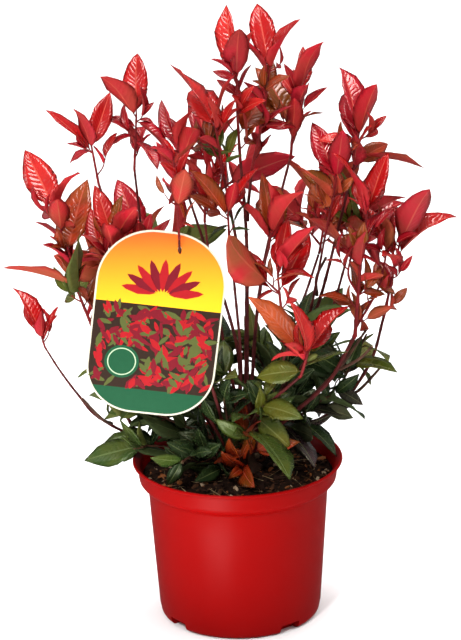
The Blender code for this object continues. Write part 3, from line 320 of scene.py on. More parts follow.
# Masses and their shoots: a green mass grows on the root crown, any other on the tip of the stem
# of its name. A shoot is where on the first shoot it starts, points that it passes through, and
# its leaves from the tip down: tint, clock angle and length as seen from the front. A row with no
# tint leaves its place bare, and a shoot with no rows takes all its leaves by the rule.
MASSES = {
    "top_middle": [
        (0.0, [(6, -4, 474), (6, -3, 505)], [
            ("k", -8, 68), ("c", 3, 47), ("s", 17, 50), ("c", -50, 25), ("k", 62, 28),
            ("b", 37, 74)]),
    ],
    "top_right": [
        (0.0, [(29, 10, 466), (35, 12, 507)], [
            ("s", -9, 67), ("s", 26, 52), ("c", -33, 42), ("b", 12, 32), ("c", -48, 30),
            ("c", 32, 28)]),
    ],
    "top_left": [
        (0.0, [(-13, -24, 464)], [
            ("k", -32, 74), ("s", -12, 32), ("s", 12, 58), ("s", 31, 40), ("c", -55, 22),
            ("v", -45, 25)]),
        (0.15, [(-19, -24, 452)], [("b", 0, 32)]),
    ],
    "upper_left": [
        (0.0, [(-46, -36, 452)], [
            ("c", -20, 47), ("s", 17, 40), ("s", 28, 26), ("c", -30, 30), ("k", 22, 38),
            ("k", -38, 34)]),
        (0.1, [(-26, -36, 399), (-14, -36, 389)], [
            ("k", -30, 42), ("s", -25, 35), ("k", 35, 20)]),
    ],
    "over_label": [
        (0.0, [(-48, -84, 436), (-49, -80, 454)], [
            ("s", -25, 25), ("c", -50, 25), ("b", 40, 30), ("s", -30, 25), ("b", 15, 35)]),
    ],
    "left_high": [
        (0.0, [(-81, -30, 480)], [
            ("s", 0, 60), ("s", -34, 50), ("c", 133, 45), ("c", -68, 28), ("c", 137, 34),
            ("c", 16, 32)]),
    ],
    "left_mid": [
        (0.0, [(-120, -45, 456)], [("s", 19, 53), ("c", -18, 42), ("s", -43, 56)]),
    ],
    "low_shoot": [
        (0.0, [(-173, 0, 269)], [("s", -27, 55), ("c", 0, 28), ("s", 25, 30)]),
    ],
    "left_out": [
        (0.0, [(-139, -30, 326), (-148, -34, 369), (-154, -34, 396)], [
            ("k", -26, 65), ("k", 25, 46), ("c", 0, 20), ("c", -46, 28), ("b", -2, 32),
            ("c", -48, 36), ("b", 14, 73), ("c", -42, 30), ("o", -36, 26), ("b", -73, 70),
            ("v", 1, 56), ("b", 33, 61)]),
    ],
    "left_inner": [
        (0.0, [(-111, -52, 348), (-114, -52, 361)], [
            ("s", -15, 45), ("c", -35, 30), ("c", 15, 25), ("k", 30, 40)]),
        (0.3, [(-102, -56, 357), (-104, -57, 377)], [
            ("k", -15, 50), ("s", 35, 40), ("b", 10, 45), ("k", 55, 30), ("s", -10, 40)]),
        (0.16, [(-81, -50, 350), (-79, -50, 365)], [("c", 15, 35), ("s", -5, 30), ("c", 35, 35)]),
    ],
    "right_top": [
        (0.0, [(55, 20, 449), (61, 20, 483)], [
            ("s", 7, 45), ("s", 19, 55), ("c", -20, 35), ("k", -30, 35), ("c", 20, 30),
            ("b", 70, 30), ("b", -25, 72), ("s", 5, 42)]),
    ],
    "middle_back": [
        (0.0, [(33, -27, 368)], [
            ("b", -6, 58), ("k", 30, 54), ("s", -36, 48), ("b", 12, 52), ("s", 3, 50)]),
    ],
    "right_high": [
        (0.0, [(109, 12, 422), (112, 10, 445)], [
            ("c", -9, 72), ("s", 17, 53), ("k", -82, 38), ("c", -25, 35), ("k", 29, 24),
            ("b", 97, 66), ("b", 62, 38), ("c", 5, 35)]),
    ],
    "right_inner": [
        (0.0, [(89, -4, 395), (92, -5, 412)], [
            ("c", -22, 57), ("c", 8, 46), ("s", 20, 40), ("b", -60, 36), ("o", -45, 44),
            ("o", -22, 40), ("k", 25, 30)]),
    ],
    "right_mid": [
        (0.0, [(112, -22, 339), (118, -22, 385)], [
            ("s", 20, 59), ("s", -25, 64), ("k", -18, 48), ("c", 32, 36), ("c", 5, 36),
            ("b", -8, 36)]),
        (0.35, [(101, -20, 326), (104, -20, 347)], [("b", -48, 54), ("c", 20, 30), ("c", 0, 30)]),
        (0.08, [(128, -6, 309), (136, -4, 344)], [("k", -22, 46), ("b", -10, 42), ("c", 2, 36)]),
    ],
    "right_out": [
        (0.0, [(145, 2, 336), (148, 2, 349)], [
            ("s", 29, 57), ("c", 25, 60), ("s", -4, 42), ("s", 52, 73), ("s", -20, 34),
            ("c", -20, 26), ("b", -14, 42)]),
    ],
    "front_low": [
        (0.0, [(63, -82, 277)], [
            ("s", 40, 60), ("k", -13, 50), ("o", -41, 76), ("s", -86, 34), ("s", -42, 28),
            ("v", 71, 44), ("v", -95, 44)]),
    ],
    "middle_left": [
        (0.0, [(-4, -46, 396)], [("s", 35, 50), ("s", 15, 30), ("b", -35, 55), ("d", -120, 25)]),
    ],
    "middle_low": [
        (0.0, [(40, -50, 315), (38, -52, 343)], [
            ("s", 13, 50), ("s", 38, 54), ("k", 22, 36), ("s", 29, 64)]),
        (0.5, [(30, -54, 332)], [("s", -40, 50), ("b", -46, 62)]),
    ],
    "green_front": [
        (0.0, [(13, -48, 199), (22, -60, 222)], [
            ("g", -49, 58), ("v", 105, 40), ("d", -20, 30), ("v", 133, 46), ("g", 141, 56),
            ("g", -69, 43), ("b", -98, 34)]),
    ],
    "green_right": [
        (0.0, [(23, 0, 172), (58, 4, 253), (61, 2, 276)], [
            ("d", 20, 38), ("g", 68, 48), ("d", -40, 28), ("d", 75, 35), ("d", -100, 26),
            ("d", -82, 34), ("d", -15, 34)]),
    ],
    "green_right_low": [
        (0.0, [(28, 6, 162), (62, 10, 187), (92, 8, 212), (118, 6, 262)], [
            ("", 0, 0), ("", 0, 0), ("", 0, 0), ("", 0, 0), ("v", 100, 40), ("d", -12, 36),
            ("p", 116, 30), ("d", 111, 44), ("p", 104, 32), ("d", 127, 52), ("p", 140, 44),
            ("d", 150, 38)]),
    ],
    "green_left": [
        (0.0, [(-10, 0, 163), (-51, 4, 180), (-93, 0, 201)], [
            ("g", -106, 26), ("g", -130, 22), ("v", -62, 22), ("d", -140, 22), ("d", -40, 24),
            ("d", -62, 28)]),
        (0.7, [(-112, 6, 240)], [("v", -111, 36)]),
    ],
    "green_left_low": [
        (0.0, [(-34, -30, 164), (-50, -58, 168)], [
            ("d", -149, 28), ("g", -82, 30), ("d", -55, 24), ("d", -62, 30), ("d", -20, 30)]),
    ],
    "green_rim_left": [
        (0.0, [(-12, -6, 154), (-50, 0, 159), (-84, 2, 161)], [
            ("g", -103, 60), ("v", -20, 26), ("d", 30, 24)]),
    ],
    "green_centre": [
        (0.0, [(-6, -26, 179), (-14, -42, 239)], [
            ("g", 8, 48), ("v", 38, 40), ("d", -115, 25), ("d", -95, 25), ("d", 40, 35),
            ("d", -130, 20)]),
    ],
    "rear_left": [
        (0.0, [(-84, 80, 326)], []),
        (0.15, [(-106, 76, 300)], []),
        (0.35, [(-58, 94, 316)], []),
    ],
    "rear_middle": [
        (0.0, [(-22, 88, 404)], []),
        (0.15, [(-42, 106, 374)], []),
        (0.3, [(8, 108, 384)], []),
    ],
    "rear_right": [
        (0.0, [(88, 92, 366)], []),
        (0.15, [(62, 112, 338)], []),
        (0.3, [(112, 90, 344)], []),
    ],
    "rear_side": [
        (0.0, [(118, 82, 350)], []),
        (0.2, [(92, 104, 342)], []),
    ],
    "green_rear_left": [
        (0.0, [(-30, 30, 178), (-64, 58, 204), (-84, 72, 238)], []),
        (0.55, [(-24, 72, 224)], []),
    ],
    "green_rear_right": [
        (0.0, [(34, 34, 178), (58, 62, 204), (72, 80, 232)], []),
        (0.55, [(16, 78, 222)], []),
    ],
}

Leaf = namedtuple("Leaf", "root ahead face length width bend tint")
Twig = namedtuple("Twig", "run start end leaves")


def tree_of(item):
    """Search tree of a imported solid, in millimetres."""
    bm = bmesh.new()
    bm.from_mesh(item.data)
    bm.transform(Matrix.Scale(1 / MM, 4))
    return tree_from(bm)


def tree_from(bm):
    """Search tree of a shape, which is let go."""
    tree = BVHTree.FromBMesh(bm)
    bm.free()
    return tree


def frames(points):
    """Matrices along a path, each with its Z along the path and as little twist as can be."""
    last = len(points) - 1
    side = Vector((0.9, 0.37, 0.21))
    found = []
    for k, point in enumerate(points):
        ahead = (points[min(k + 1, last)] - points[max(k - 1, 0)]).normalized()
        side = (side - ahead * side.dot(ahead)).normalized()
        turn = Matrix((side, ahead.cross(side), ahead)).transposed().to_4x4()
        found.append(Matrix.Translation(point) @ turn)
    return found


def spline(points, step):
    """Smooth run through the points, about a step apart."""
    points = [Vector(point) for point in points]
    run = [2 * points[0] - points[1]] + points + [2 * points[-1] - points[-2]]
    found = []
    for a, b, c, d in zip(run, run[1:], run[2:], run[3:]):
        count = max(1, round((c - b).length / step))
        for k in range(count):
            t = k / count
            found.append(0.5 * (2 * b + (c - a) * t + (2 * a - 5 * b + 4 * c - d) * t * t
                                + (3 * b - a - 3 * c + d) * t ** 3))
    return found + [points[-1].copy()]


def length_of(run):
    return sum((b - a).length for a, b in zip(run, run[1:]))


def along(run, share):
    """Point at a share of a path's length."""
    left = share * length_of(run)
    for a, b in zip(run, run[1:]):
        step = (b - a).length
        if left <= step:
            return a.lerp(b, left / step)
        left -= step
    return run[-1].copy()


def direction(run, share):
    ahead = along(run, min(1.0, share + 0.05)) - along(run, max(0.0, share - 0.05))
    return ahead.normalized()


def sideways(axis, turn):
    """Direction square to an axis, turned round it by an angle."""
    return Matrix.Rotation(turn, 3, axis) @ axis.orthogonal().normalized()


def sweep(run, start, end, sides):
    """Closed limb along a path, tapering from its start to its end radius, in millimetres."""
    return sweep_rings(run, taper(start, end, len(run)), sides)


def taper(start, end, count):
    return [start + (end - start) * k / (count - 1) for k in range(count)]


def either_way(steps):
    """Nought, then each step to the one side and to the other."""
    return [0] + [sign * step for step in steps for sign in (1, -1)]


def sweep_rings(run, radii, sides):
    """Closed limb along a path, with a radius for each of its points."""
    bm = bmesh.new()
    places = frames(run)
    made = bmesh.ops.create_circle(bm, cap_ends=True, radius=radii[0], segments=sides,
                                   matrix=places[0])
    cap = made["verts"][0].link_faces[0]
    for k in range(1, len(run)):
        grown = bmesh.ops.extrude_face_region(bm, geom=[cap])["geom"]
        if k > 1:
            bmesh.ops.delete(bm, geom=[cap], context="FACES_ONLY")
        cap = next(item for item in grown if isinstance(item, bmesh.types.BMFace))
        move = places[k] @ Matrix.Scale(radii[k] / radii[k - 1], 4) @ places[k - 1].inverted()
        bmesh.ops.transform(bm, matrix=move, verts=cap.verts)
    bmesh.ops.recalc_face_normals(bm, faces=bm.faces)
    return bm


def crown_radius(height):
    """Radius of the root crown at a height over the soil: a flare, then a slow taper."""
    flare = 0.5 * math.exp(-height / 3.2)
    return CROWN_R * (1.0 - 0.22 * height / CROWN_H + flare)


def crown_axis(height):
    """Centre of the root crown at a height over the soil; it leans a little from its foot."""
    lean = max(height - 2.0, 0.0)
    return Vector((CROWN_AT[0] - 0.05 * lean, CROWN_AT[1] + 0.04 * lean,
                   SOIL_TOP + GAP + height))


class Limbs:
    """What has been grown so far, each piece with its owner's name, to keep new pieces clear."""

    def __init__(self):
        self.trees = []
        self.known = {}

    def add(self, owner, tree):
        self.trees.append((owner, tree))

    def keep(self, name, run, end, tree):
        """Remember a limb that others can grow on."""
        self.add(name, tree)
        self.known[name] = (run, end, tree)

    def touches(self, tree, *skip):
        return any(owner not in skip and other.overlap(tree) for owner, other in self.trees)

    def fits(self, run, start, end, sides, parent):
        """Whether a limb is a gap clear of all but its parent, which it only mustn't touch."""
        for margin, skip in ((LIMB_ROOM, parent), (GAP / 3, None)):
            tree = tree_from(sweep(run, start + margin, end + margin, sides))
            if self.touches(tree, skip) and (skip or parent in self.known):
                return False
        return True

    def clear_start(self, run, radius, tree):
        """Path whose start is moved along until it stands a gap off its parent."""
        length = length_of(run)
        start = 0.0
        while start < 0.4 * length:
            spot = along(run, start / length)
            ahead = (along(run, (start + 2.0) / length) - spot).normalized()
            side = ahead.orthogonal().normalized() * radius
            rim = [spot + Matrix.Rotation(math.tau * k / 12, 3, ahead) @ side for k in range(12)]
            near = [(point, *tree.find_nearest(point)) for point in [spot] + rim]
            if all((point - at).dot(normal) > 0.0 and distance > GAP + 0.02
                   for point, at, normal, _, distance in near):
                break
            start += 0.12
        trimmed = [along(run, start / length)]
        gone = 0.0
        for a, b in zip(run, run[1:]):
            gone += (b - a).length
            if gone > start + 2.5:
                trimmed.append(b.copy())
        return trimmed

    def first_fit(self, runs, start, end, sides, parent):
        """First of some paths that has room for the limb, or none."""
        return next((run for run in runs if self.fits(run, start, end, sides, parent)), None)

    def from_crown(self, points, start, end, step, sides, low):
        """Limb off the root crown, at the first free foot near its own side."""
        aim = math.atan2(points[0][1] - CROWN_AT[1], points[0][0] - CROWN_AT[0])
        heights = LOW_FEET if low else HIGH_FEET
        trunk = self.known["trunk"][2]

        def path(place):
            shift, height, turn = place
            angle = aim + math.radians(turn)
            out = Vector((math.cos(angle), math.sin(angle), 0.0))
            foot = crown_axis(height) + out * (crown_radius(height) - 1.0)
            away = foot + out * 8.0 + Vector((0.0, 0.0, 2.5 if low else 5.0))
            rest = [Vector(point) for point in points]
            rest[0].y += shift
            return self.clear_start(spline([foot, away] + rest, step), start, trunk)

        places = product(either_way(FOOT_SHIFTS), heights, either_way(FOOT_TURNS))
        return self.first_fit(map(path, places), start, end, sides, "trunk")

    def from_limb(self, points, start, end, step, sides, parent):
        """Limb off another limb, bowed in depth until it's clear of the rest."""
        path, _, tree = self.known[parent]
        target = Vector(points[0])
        near = min((along(path, k / 60) for k in range(61)), key=lambda p: (p - target).length)

        def bowed(bow):
            rest = [Vector(point) for point in points[1:]]
            for point in rest[:-1]:
                point.y += bow
            return self.clear_start(spline([near] + rest, step), start, tree)

        return self.first_fit(map(bowed, either_way(LIMB_BOWS)), start, end, sides, parent)

    def from_tip(self, points, end, parent):
        """First shoot of a mass, a gap off the tip of its stem and in line with it."""
        path, start, _ = self.known[parent]
        ahead = (path[-1] - path[-2]).normalized()
        foot = path[-1] + ahead * GAP
        runs = (spline([foot, foot + ahead * 2.5] + pushed(points, bow), TWIG_STEP)
                for bow in either_way(TIP_BOWS))
        return self.first_fit(runs, start, end, TWIG_SIDES, parent)

    def from_shoot(self, points, start, end, first, share, owner):
        """Side shoot of a mass, rooted in its first shoot."""
        root = along(first, share)
        rest = [point for point in points if (root - Vector(point)).length > 6.0]
        rest = rest or [root + Vector((0.0, -3.0, 8.0))]
        runs = (spline([root] + pushed(rest, bow), TWIG_STEP) for bow in either_way(SHOOT_BOWS))
        return self.first_fit(runs, start, end, TWIG_SIDES, owner)


def pushed(points, depth):
    """The points, moved back by a depth."""
    return [Vector(point) + Vector((0.0, depth, 0.0)) for point in points]


def leaf_point(leaf, share, across, lift):
    """Point of a leaf: share of its length, millimetres across, and lift off its face."""
    half = math.radians(leaf.bend) / 2
    slope = half - 2 * half * share
    if abs(half) < 0.01:
        forward, rise = leaf.length * share, 0.0
    else:
        forward = leaf.length / (2 * half) * (math.sin(half) - math.sin(slope))
        rise = leaf.length / (2 * half) * (math.cos(slope) - math.cos(half))
    up = leaf.face * math.cos(slope) - leaf.ahead * math.sin(slope)
    side = leaf.ahead.cross(leaf.face)
    return leaf.root + leaf.ahead * forward + leaf.face * rise + side * across + up * lift


def leaf_solid(leaf, margin=0.0):
    """Folded blade of 8 faces; a margin makes it larger all round, to test its room."""
    width = leaf.width / 2 + margin
    thick = LEAF_T / 2 + margin
    fold = LEAF_FOLD * width
    edge = [(0.0, 0.0, 0.0), (LEAF_WIDEST, width, fold), (1.0, 0.0, 0.0),
            (LEAF_WIDEST, -width, fold)]
    points = [leaf_point(leaf, *corner) for corner in edge]
    points += [leaf_point(leaf, LEAF_RIDGE, 0.0, side) for side in (thick, -thick)]
    faces = [(4, k, (k + 1) % 4) for k in range(4)] + [(5, (k + 1) % 4, k) for k in range(4)]
    return points, faces


def blade_tree(leaf):
    """Search tree of the outer part of a leaf, past where the leaves of a shoot meet."""
    root = leaf_point(leaf, BLADE_FROM, 0.0, 0.0)
    length = leaf.length * (1.0 - BLADE_FROM)
    outer = leaf._replace(root=root, length=length, width=leaf.width * 0.9)
    return BVHTree.FromPolygons(*leaf_solid(outer, GAP))


def leaf_at(run, share, ahead, twist, length, width, bend, tint):
    """Leaf on a shoot, its upper face towards the shoot's own axis, twisted by some degrees."""
    axis = direction(run, share)
    face = axis - ahead * axis.dot(ahead)
    if face.length < 0.1:
        face = Vector((0.0, -1.0, 0.0)) + ahead * ahead.y
    face = Matrix.Rotation(math.radians(twist), 3, ahead) @ face.normalized()
    root = along(run, share) - ahead * ROOT_SINK
    return Leaf(root, ahead, face, length, length * width, bend, tint)


def planned_leaf(run, row, index, count, rng):
    """Leaf of the plan: the first few at the tip, the rest down the shoot at even steps."""
    tint, clock, seen = row
    if index < TIP_LEAVES:
        share = 1.0 - index * TIP_STEP / length_of(run)
    else:
        share = 1.0 - 0.9 * (index - TIP_LEAVES + 1) / (count - TIP_LEAVES + 1)
    clock = math.radians(clock)
    lean = math.radians(LEANS[index % len(LEANS)] + rng.uniform(-6.0, 6.0))
    length = min(seen / math.cos(lean), LONGEST)
    sine, cosine = math.sin(math.radians(SEEN_FROM)), math.cos(math.radians(SEEN_FROM))
    up = Vector((0.0, sine, cosine))
    near = Vector((0.0, -cosine, sine))
    flat = Vector((1.0, 0.0, 0.0)) * math.sin(clock) + up * math.cos(clock)
    ahead = flat * math.cos(lean) + near * math.sin(lean)
    width = LEAF_W * rng.uniform(0.94, 1.06)
    return leaf_at(run, max(share, 0.04), ahead, rng.uniform(-50.0, 50.0), length, width,
                   rng.uniform(2.0, 22.0), tint)


def partner_leaf(leaf, rng):
    """Smaller leaf from the same place, out towards the back."""
    ahead = leaf.ahead
    back = Vector((ahead.x, abs(ahead.y) * 0.5 + rng.uniform(0.6, 1.3), ahead.z)).normalized()
    face = Vector((0.0, -1.0, 0.4))
    face = (face - back * face.dot(back)).normalized()
    scale = rng.uniform(0.78, 0.95)
    return leaf._replace(root=leaf.root + (ahead - back) * ROOT_SINK, ahead=back, face=face,
                         length=leaf.length * scale, width=leaf.width * scale,
                         bend=rng.uniform(6.0, 24.0))


def rule_leaf(run, share, index, rng):
    """Leaf of the rule: each a golden angle on round the shoot, opening less near the tip."""
    axis = direction(run, share)
    turn = math.radians(GOLDEN_ANGLE * index) + rng.uniform(-0.3, 0.3)
    side = sideways(axis, turn)
    opening = math.radians(rng.uniform(34.0, 62.0) - 16.0 * share)
    ahead = axis * math.cos(opening) + side * math.sin(opening)
    tint = tint_for(along(run, share).z, rng)
    return leaf_at(run, share, ahead, 0.0, rng.uniform(56.0, 74.0), LEAF_W,
                   rng.uniform(8.0, 32.0), tint)


def tint_for(height, rng):
    """Tint by height: red young leaves at the top, green old ones low down."""
    share = (height - TINTS_FROM) / TINTS_RISE + rng.uniform(-0.2, 0.2)
    return next((tint for limit, tint in TINTS_BY_HEIGHT if share < limit), "s")


def fitted(leaf, limbs, owner, blades):
    """Leaf leant until it's clear, best of its own mass's blades too, or none where that fails."""
    base = leaf.root + leaf.ahead * ROOT_SINK
    hinge = leaf.ahead.cross(Vector((0.0, 1.0, 0.0)))
    if hinge.length < 0.2:
        hinge = Vector((1.0, 0.0, 0.0))
    hinge.normalize()
    second = None
    for lean in either_way(LEAF_LEANS):
        turn = Matrix.Rotation(math.radians(lean), 3, hinge)
        ahead = turn @ leaf.ahead
        tried = leaf._replace(root=base - ahead * ROOT_SINK, ahead=ahead, face=turn @ leaf.face)
        points, faces = leaf_solid(tried, LEAF_ROOM)
        low = any(point.z < SOIL_TOP + 2.0 and math.hypot(point.x, point.y) < RIM_R
                  for point in points)
        if low or limbs.touches(BVHTree.FromPolygons(points, faces), owner):
            continue
        blade = blade_tree(tried)
        if not any(other.overlap(blade) for other in blades):
            return tried
        second = second or tried
    return second


def grow_twigs(name, limbs):
    """Shoots of one mass: the first off its stem or the crown, the rest off the first."""
    owner = "leaves_" + name
    twigs = []
    for share, points, leaves in MASSES[name]:
        if twigs:
            start, end = SIDE_SHOOT_R
            run = limbs.from_shoot(points, start, end, twigs[0].run, share, owner)
        elif name.startswith("green"):
            start, end = CROWN_SHOOT_R
            run = limbs.from_crown(points, start, end, TWIG_STEP, TWIG_SIDES, True)
        else:
            start, end = limbs.known[name][1], TIP_SHOOT_END
            run = limbs.from_tip(points, end, name)
        if run is None:
            print("no room for a shoot of", owner)
            if not twigs:
                break
            continue
        limbs.add(owner, tree_from(sweep(run, start, end, TWIG_SIDES)))
        twigs.append(Twig(run, start, end, leaves))
    return twigs


def grow_leaves(name, twigs, limbs, rng):
    """Leaves of one mass: the plan's, a few set behind them, and the rule's where it has none."""
    leaves = []
    blades = []
    for twig in twigs:
        rows = twig.leaves
        wanted = [planned_leaf(twig.run, row, k, len(rows), rng)
                  for k, row in enumerate(rows) if row[0]]
        wanted += [partner_leaf(leaf, rng) for leaf in wanted[::PARTNERS]]
        if not rows:
            count = max(4, round(length_of(twig.run) / RULE_STEP))
            wanted = [rule_leaf(twig.run, 0.2 + 0.8 * (k + 1) / count, k, rng)
                      for k in range(count)]
        for leaf in wanted:
            leaf = fitted(leaf, limbs, name, blades)
            if leaf:
                leaves.append(leaf)
                blades.append(blade_tree(leaf))
    return leaves


def added(heap, bm, slot=0, smooth=True):
    """Put one small shape into a joined piece, with its material slot, and let it go."""
    for face in bm.faces:
        face.material_index = slot
        face.smooth = smooth
    mesh = bpy.data.meshes.new("part")
    bm.to_mesh(mesh)
    bm.free()
    heap.from_mesh(mesh)
    bpy.data.meshes.remove(mesh)


def item_of(name, bm):
    """Object with a shape as its mesh, put in the scene; the shape is let go."""
    mesh = bpy.data.meshes.new(name)
    bm.to_mesh(mesh)
    bm.free()
    item = bpy.data.objects.new(name, mesh)
    bpy.context.scene.collection.objects.link(item)
    return item


def piece(name, bm, mats, slot, *nodes):
    """Finished piece in metres: it rides on the one body and stands for its nodes."""
    bm.transform(Matrix.Scale(MM, 4))
    item = item_of(name, bm)
    for mat in mats:
        item.data.materials.append(mat)
    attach(item, "root")
    if nodes:
        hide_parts(*nodes)


def spun(profile, steps):
    """Closed shell of revolution from an outline in radius and height."""
    bm = bmesh.new()
    points = [bm.verts.new((x, 0.0, z)) for x, z in profile]
    edges = [bm.edges.new(pair) for pair in zip(points, points[1:])]
    bmesh.ops.spin(bm, geom=points + edges, cent=(0, 0, 0), axis=(0, 0, 1), angle=math.tau,
                   steps=steps, use_merge=True)
    bmesh.ops.remove_doubles(bm, verts=bm.verts, dist=0.001)
    bmesh.ops.recalc_face_normals(bm, faces=bm.faces)
    for face in bm.faces:
        face.smooth = True
    return bm


def arc(centre, radius, first, last, count):
    """Points of a round stretch of an outline, its angles in degrees from outwards."""
    angles = [math.radians(first + (last - first) * k / count) for k in range(count + 1)]
    return [(centre[0] + radius * math.cos(a), centre[1] + radius * math.sin(a)) for a in angles]


def rough_noise(point, size, depth):
    """Signed height of lumps of about the given size."""
    return depth * noise.noise(Vector(point) / size)


def cut_away(bm, tool):
    """Shape less a tool, by a Boolean; both are let go."""
    kept, gone = item_of("shape", bm), item_of("tool", tool)
    step = kept.modifiers.new("step", "BOOLEAN")
    step.operation = "DIFFERENCE"
    step.solver = "EXACT"
    step.object = gone
    bpy.context.view_layer.update()
    result = kept.evaluated_get(bpy.context.evaluated_depsgraph_get())
    made = bmesh.new()
    made.from_mesh(result.to_mesh())
    result.to_mesh_clear()
    for item in (kept, gone):
        mesh = item.data
        bpy.data.objects.remove(item)
        bpy.data.meshes.remove(mesh)
    return made


def leaf_template():
    """Flat pattern of a leaf: across and along as shares, its lower side at minus one."""
    bm = bmesh.new()
    bmesh.ops.create_grid(bm, x_segments=len(COLUMNS) - 1, y_segments=len(ROWS) - 1, size=0.5)
    for point in bm.verts:
        column = round((point.co.x + 0.5) * (len(COLUMNS) - 1))
        row = round((point.co.y + 0.5) * (len(ROWS) - 1))
        tip = row == len(ROWS) - 1
        point.co = (0.0 if tip else COLUMNS[column], ROWS[row], 0.0)
    for face in bm.faces:
        face.material_index = 2 if abs(face.calc_center_median().x) < 0.05 else 0
    lower = bmesh.ops.duplicate(bm, geom=bm.verts[:] + bm.edges[:] + bm.faces[:])["geom"]
    lower = [item for item in lower if isinstance(item, bmesh.types.BMFace)]
    bmesh.ops.reverse_faces(bm, faces=lower)
    for face in lower:
        face.material_index = 2 if face.material_index == 2 else 1
        for point in face.verts:
            if abs(point.co.x) < 1.0 and 0.0 < point.co.y < 1.0:
                point.co.z = -1.0
    bmesh.ops.remove_doubles(bm, verts=bm.verts, dist=0.0001)
    if sum(face.normal.z for face in bm.faces if face.material_index == 0) < 0.0:
        bmesh.ops.reverse_faces(bm, faces=bm.faces)
    layer = bm.loops.layers.uv.new("leaf")
    for face in bm.faces:
        face.smooth = True
        for loop in face.loops:
            loop[layer].uv = (loop.vert.co.y, loop.vert.co.x)
    mesh = bpy.data.meshes.new("leaf_template")
    bm.to_mesh(mesh)
    bm.free()
    return mesh


def blade_outline(share):
    """Half width of the blade at a share of its own length: widest near the middle, pointed."""
    near, far = BLADE_POWERS
    full = share ** near * (1.0 - share) ** far / BLADE_PEAK
    return max(full, BLADE_FOOT * (1.0 - share))


def blade_share(at):
    """Share of the blade's own length, at a share of the whole leaf's."""
    return max(0.0, (at - STALK_SHARE) / (1.0 - STALK_SHARE))


def slope_at(leaf, form, at):
    """Angle by which the rib points up, with the leaf's bow and the curl of its tip."""
    half = math.radians(leaf.bend) / 2
    return half - 2 * half * at - math.radians(form.curl) * blade_share(at) ** 3


def rib_at(leaf, form, at):
    """Place on the rib at a share of the leaf's length."""
    steps = 8
    forward = rise = 0.0
    for k in range(steps):
        slope = slope_at(leaf, form, at * (k + 0.5) / steps)
        forward += math.cos(slope) * leaf.length * at / steps
        rise += math.sin(slope) * leaf.length * at / steps
    return leaf.root + leaf.ahead * forward + leaf.face * rise


def bent(leaf, form, at, across, lift, twist, phase):
    """Place of a point of a leaf, along its bow, with fold, cup, waves and curl."""
    blade = blade_share(at)
    slope = slope_at(leaf, form, at)
    up = leaf.face * math.cos(slope) - leaf.ahead * math.sin(slope)
    side = leaf.ahead.cross(leaf.face)
    turn = Matrix.Rotation(twist * blade, 3, leaf.ahead.normalized())
    reach = abs(across) * blade_outline(blade) * leaf.width * form.width / 2
    fold = math.radians(form.fold) * (1.0 - form.ease * blade)
    out = reach * math.cos(fold)
    high = reach * math.sin(fold) + form.cup * across * across * reach
    wave = math.sin(MARGIN_WAVES * blade + phase + (WAVE_LAG if across > 0 else 0.0))
    high += form.wave * leaf.width * wave * across ** 2 * math.sin(math.pi * blade)
    cross = side * math.copysign(out, across) + up * (high + lift)
    return rib_at(leaf, form, at) + turn @ cross


def add_leaf(heap, template, leaf, rng):
    """One finer leaf: the flat pattern bent to its own form."""
    form = FORMS[leaf.tint]
    fold = form.fold * rng.uniform(*FOLD_SPREAD)
    form = form._replace(fold=fold, curl=form.curl * rng.uniform(*CURL_SPREAD))
    twist = rng.uniform(*TWIST_SPREAD)
    phase = rng.uniform(0.0, math.tau)
    known = len(heap.verts)
    heap.from_mesh(template)
    heap.verts.ensure_lookup_table()
    for point in heap.verts[known:]:
        across, share, lower = point.co
        at = STALK_SHARE + (1.0 - STALK_SHARE) * share
        thick = RIB_T if abs(across) < 0.1 else BLADE_T
        point.co = bent(leaf, form, at, across, lower * thick, twist, phase)


def add_stalk(heap, leaf, slot):
    """Stalk of a leaf, from its shoot to its blade."""
    form = FORMS[leaf.tint]
    run = [leaf.root + leaf.ahead * ROOT_SINK * 0.5]
    run += [rib_at(leaf, form, at) - leaf.face * 0.2 for at in (0.05, STALK_SHARE + 0.02)]
    scale = max(0.5, min(1.0, leaf.length / 60.0))
    radii = [STALK_R * scale * size for size in (1.25, 0.9, 0.75)]
    added(heap, sweep_rings(run, radii, STALK_ROUND), slot)


def bark_radii(run, start, end, seed):
    """Tapering radii with swollen leaf scars at even steps and small lumps between."""
    radii = []
    last = len(run) - 1
    for k, (point, radius) in enumerate(zip(run, taper(start, end, len(run)))):
        scar = SCAR_SWELL if 0 < k < last and (k + seed) % SCAR_EVERY == 0 else 0.0
        lump = rough_noise(point, LUMP_SIZE, BARK_LUMPS)
        radii.append(radius * (1.0 + scar + lump))
    return radii


def add_limb(heap, run, start, end, sides, seed, slot=0):
    """Finer limb along a path, with its bark's scars and lumps."""
    path = spline(run, BARK_STEP)
    added(heap, sweep_rings(path, bark_radii(path, start, end, seed), sides), slot)


def group(name, inputs, output):
    """Empty shader group: its float inputs with their values, and its one output."""
    tree = bpy.data.node_groups.new(name, "ShaderNodeTree")
    for label, value in inputs:
        socket = tree.interface.new_socket(label, in_out="INPUT", socket_type="NodeSocketFloat")
        socket.default_value = value
    tree.interface.new_socket(output, in_out="OUTPUT", socket_type="NodeSocketFloat")
    given = tree.nodes.new("NodeGroupInput").outputs
    return tree, given, tree.nodes.new("NodeGroupOutput").inputs[0]


def node(tree, kind, **values):
    made = tree.nodes.new("ShaderNode" + kind)
    for name, value in values.items():
        setattr(made, name, value)
    return made


def sums(tree, operation, *values):
    """Result of a math node whose inputs are sockets or numbers."""
    made = node(tree, "Math", operation=operation)
    for k, value in enumerate(values):
        if isinstance(value, bpy.types.NodeSocket):
            tree.links.new(value, made.inputs[k])
        else:
            made.inputs[k].default_value = value
    return made.outputs[0]


